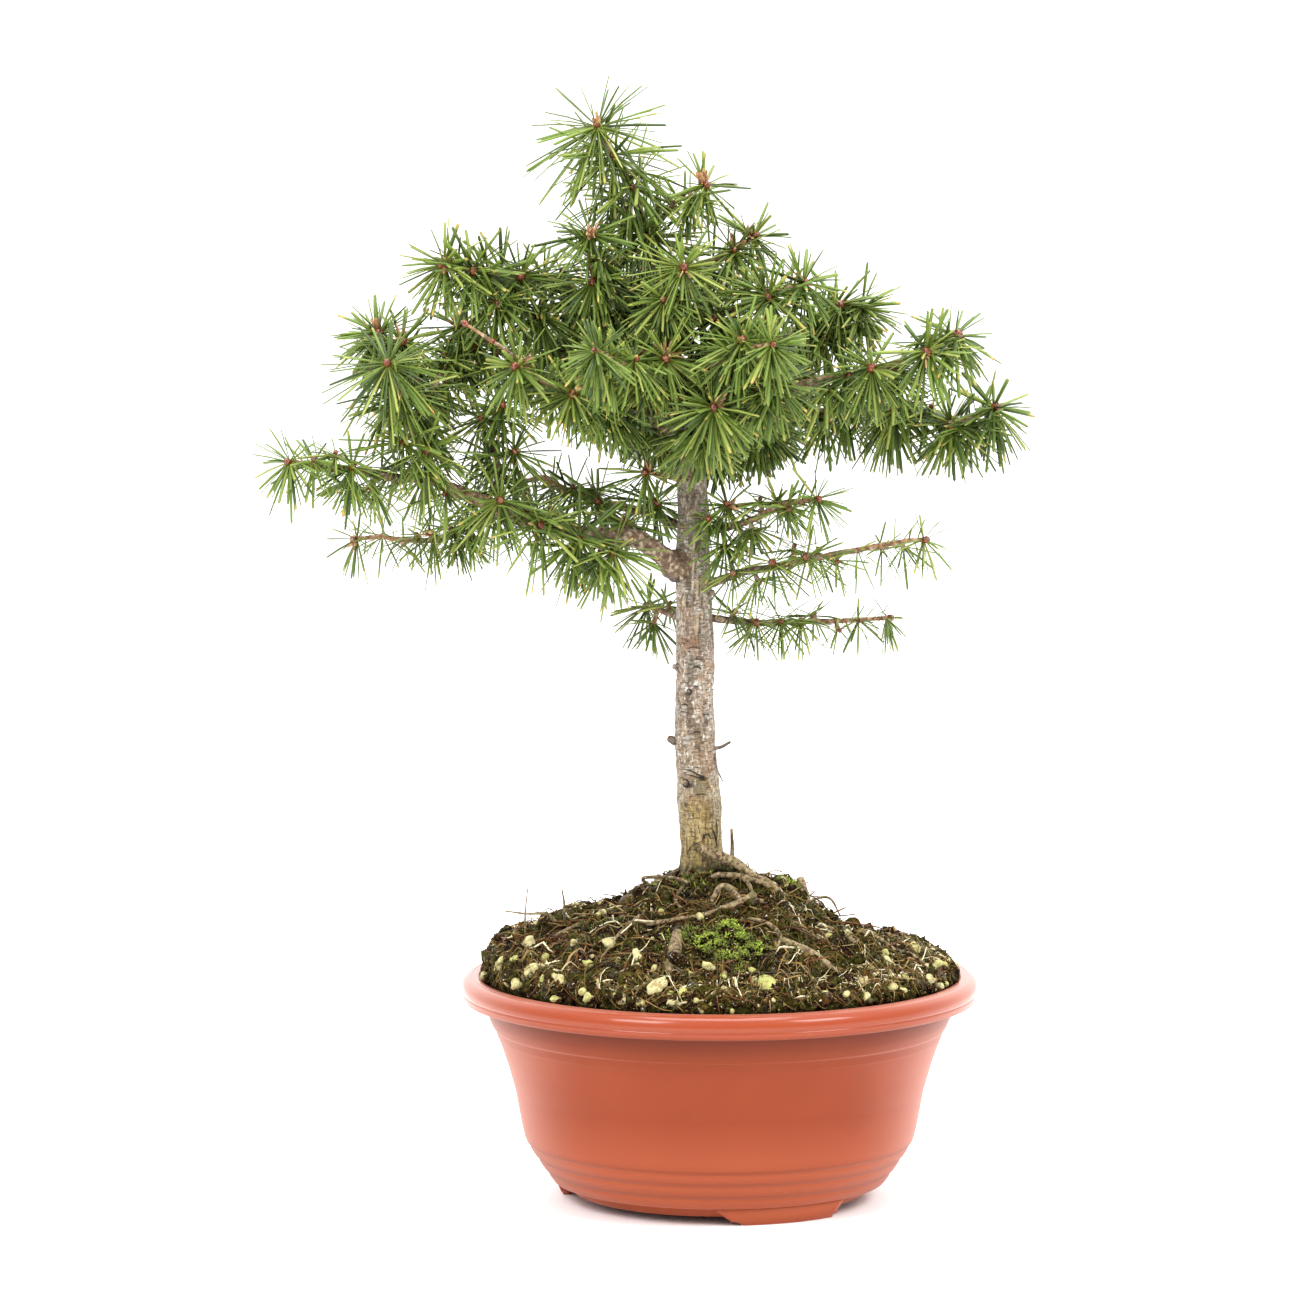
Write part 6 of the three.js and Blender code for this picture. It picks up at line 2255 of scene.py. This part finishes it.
class Sky(Recipe):
    """The soft white light that surrounds the studio."""

    front: float = 0.8
    rise: float = 0.6
    back: float = 1.0

    def __init__(self) -> None:
        """Starts an empty world."""
        self.world = bpy.data.worlds.new("studio")
        self.start(self.world)

    def share(self, axis: str) -> Value:
        """How far a direction of the light points along an axis."""
        direction = self.node("TexCoord", {}, {}).outputs["Generated"]
        return self.value("SeparateXYZ", {}, {0: direction}, axis)

    def light(self) -> bpy.types.World:
        """The world: its light is dimmest in front, and grows upwards and towards the back.

        Returns:
            The world.
        """
        rise, back = self.share("Z").over(0.0, 0.8), self.share("Y").over(-0.5, 0.7)
        inputs = {"Color": (1.0, 1.0, 1.0)}
        inputs["Strength"] = self.front + rise * self.rise + back * self.back
        background = self.node("Background", {}, inputs)
        self.node("OutputWorld", {}, {"Surface": background.outputs[0]})
        return self.world


@dataclass
class Studio:
    """A pale floor, soft light from two sides and above, and the camera."""

    # The camera's place about the bowl's axis in millimetres, and how far it looks down.
    camera_place: tuple = (-31.0, -3770.0, 722.1)
    tilt: float = 7.2
    lens: float = 237.5
    sensor: float = 36
    floor_half: float = 16.0
    # The point that the lights look at, in metres.
    target: tuple = (0, 0, 0.25)
    # Lights, as a name, a place and a side in metres, and a power in watts.
    lights: tuple = (
        ("key_left", (-0.95, -1.2, 1.35), 0.75, 22),
        ("key_right", (1.2, -0.9, 1.35), 0.7, 22),
        ("top", (0, 0.1, 2.2), 1.3, 40),
    )

    def floor(self) -> None:
        """A wide flat sheet that the bowl stands on."""
        side = self.floor_half
        corners = [(-side, -side, 0), (side, -side, 0), (side, side, 0), (-side, side, 0)]
        mesh = bpy.data.meshes.new("studio_floor")
        mesh.from_pydata(corners, [], [(0, 1, 2, 3)])
        mesh.materials.append(FloorPaper().material())
        floor = in_scene("studio_floor", mesh)

    def light(self, name: str, place: tuple, size: float, power: float) -> None:
        """A square soft light that looks at the middle of the tree.

        Args:
            name: Its name.
            place: Its place in metres.
            size: Its side in metres.
            power: Its power in watts.
        """
        data = bpy.data.lights.new(name, "AREA")
        data.size, data.energy = size, power
        lamp = in_scene(name, data)
        lamp.location = place
        ahead = Vector(self.target) - Vector(place)
        lamp.rotation_euler = ahead.to_track_quat("-Z", "Y").to_euler()

    def camera(self) -> None:
        """The camera, which looks along +Y and a little down."""
        data = bpy.data.cameras.new("camera")
        data.lens, data.sensor_width = self.lens, self.sensor
        camera = in_scene("camera", data)
        camera.location = np.array(self.camera_place) * MM + AXIS_PLACE
        camera.rotation_euler = (np.radians(90 - self.tilt), 0, 0)
        bpy.context.scene.camera = camera

    def build(self) -> None:
        """Sets up floor, lights, background and camera."""
        self.floor()
        for lamp in self.lights:
            self.light(*lamp)
        bpy.context.scene.world = Sky().light()
        bpy.context.scene.view_settings.view_transform = "Standard"
        self.camera()


# ---- The whole object ----


def main() -> None:
    """Builds the bowl, the mound, the tree and the studio."""
    logging.basicConfig(level=logging.INFO, format="%(message)s")
    mound = Mound()
    Bowl().build()
    mound.build()
    Moss(mound).build()
    Trunk().build()
    SurfaceRoots(mound).build()
    finishes = {"needle": NeedleLeaf().material(), "twig": TwigBark().material()}
    buds, remains = zip(*(spray.build(finishes) for spray in larch_sprays()))
    make_piece("buds", merged(list(buds)), BudScale().material(), "bark")
    scales = Blades.together(list(remains)).skin(((0.05, 0.6), (0.5, 1.0), (0.9, 0.6)), 0.3)
    make_piece("papery_scales", scales, PaperyScale().material(), "bark")
    Studio().build()
    log.info("all pieces: %d triangles", Tally.triangles)


if __name__ == "__main__":
    main()
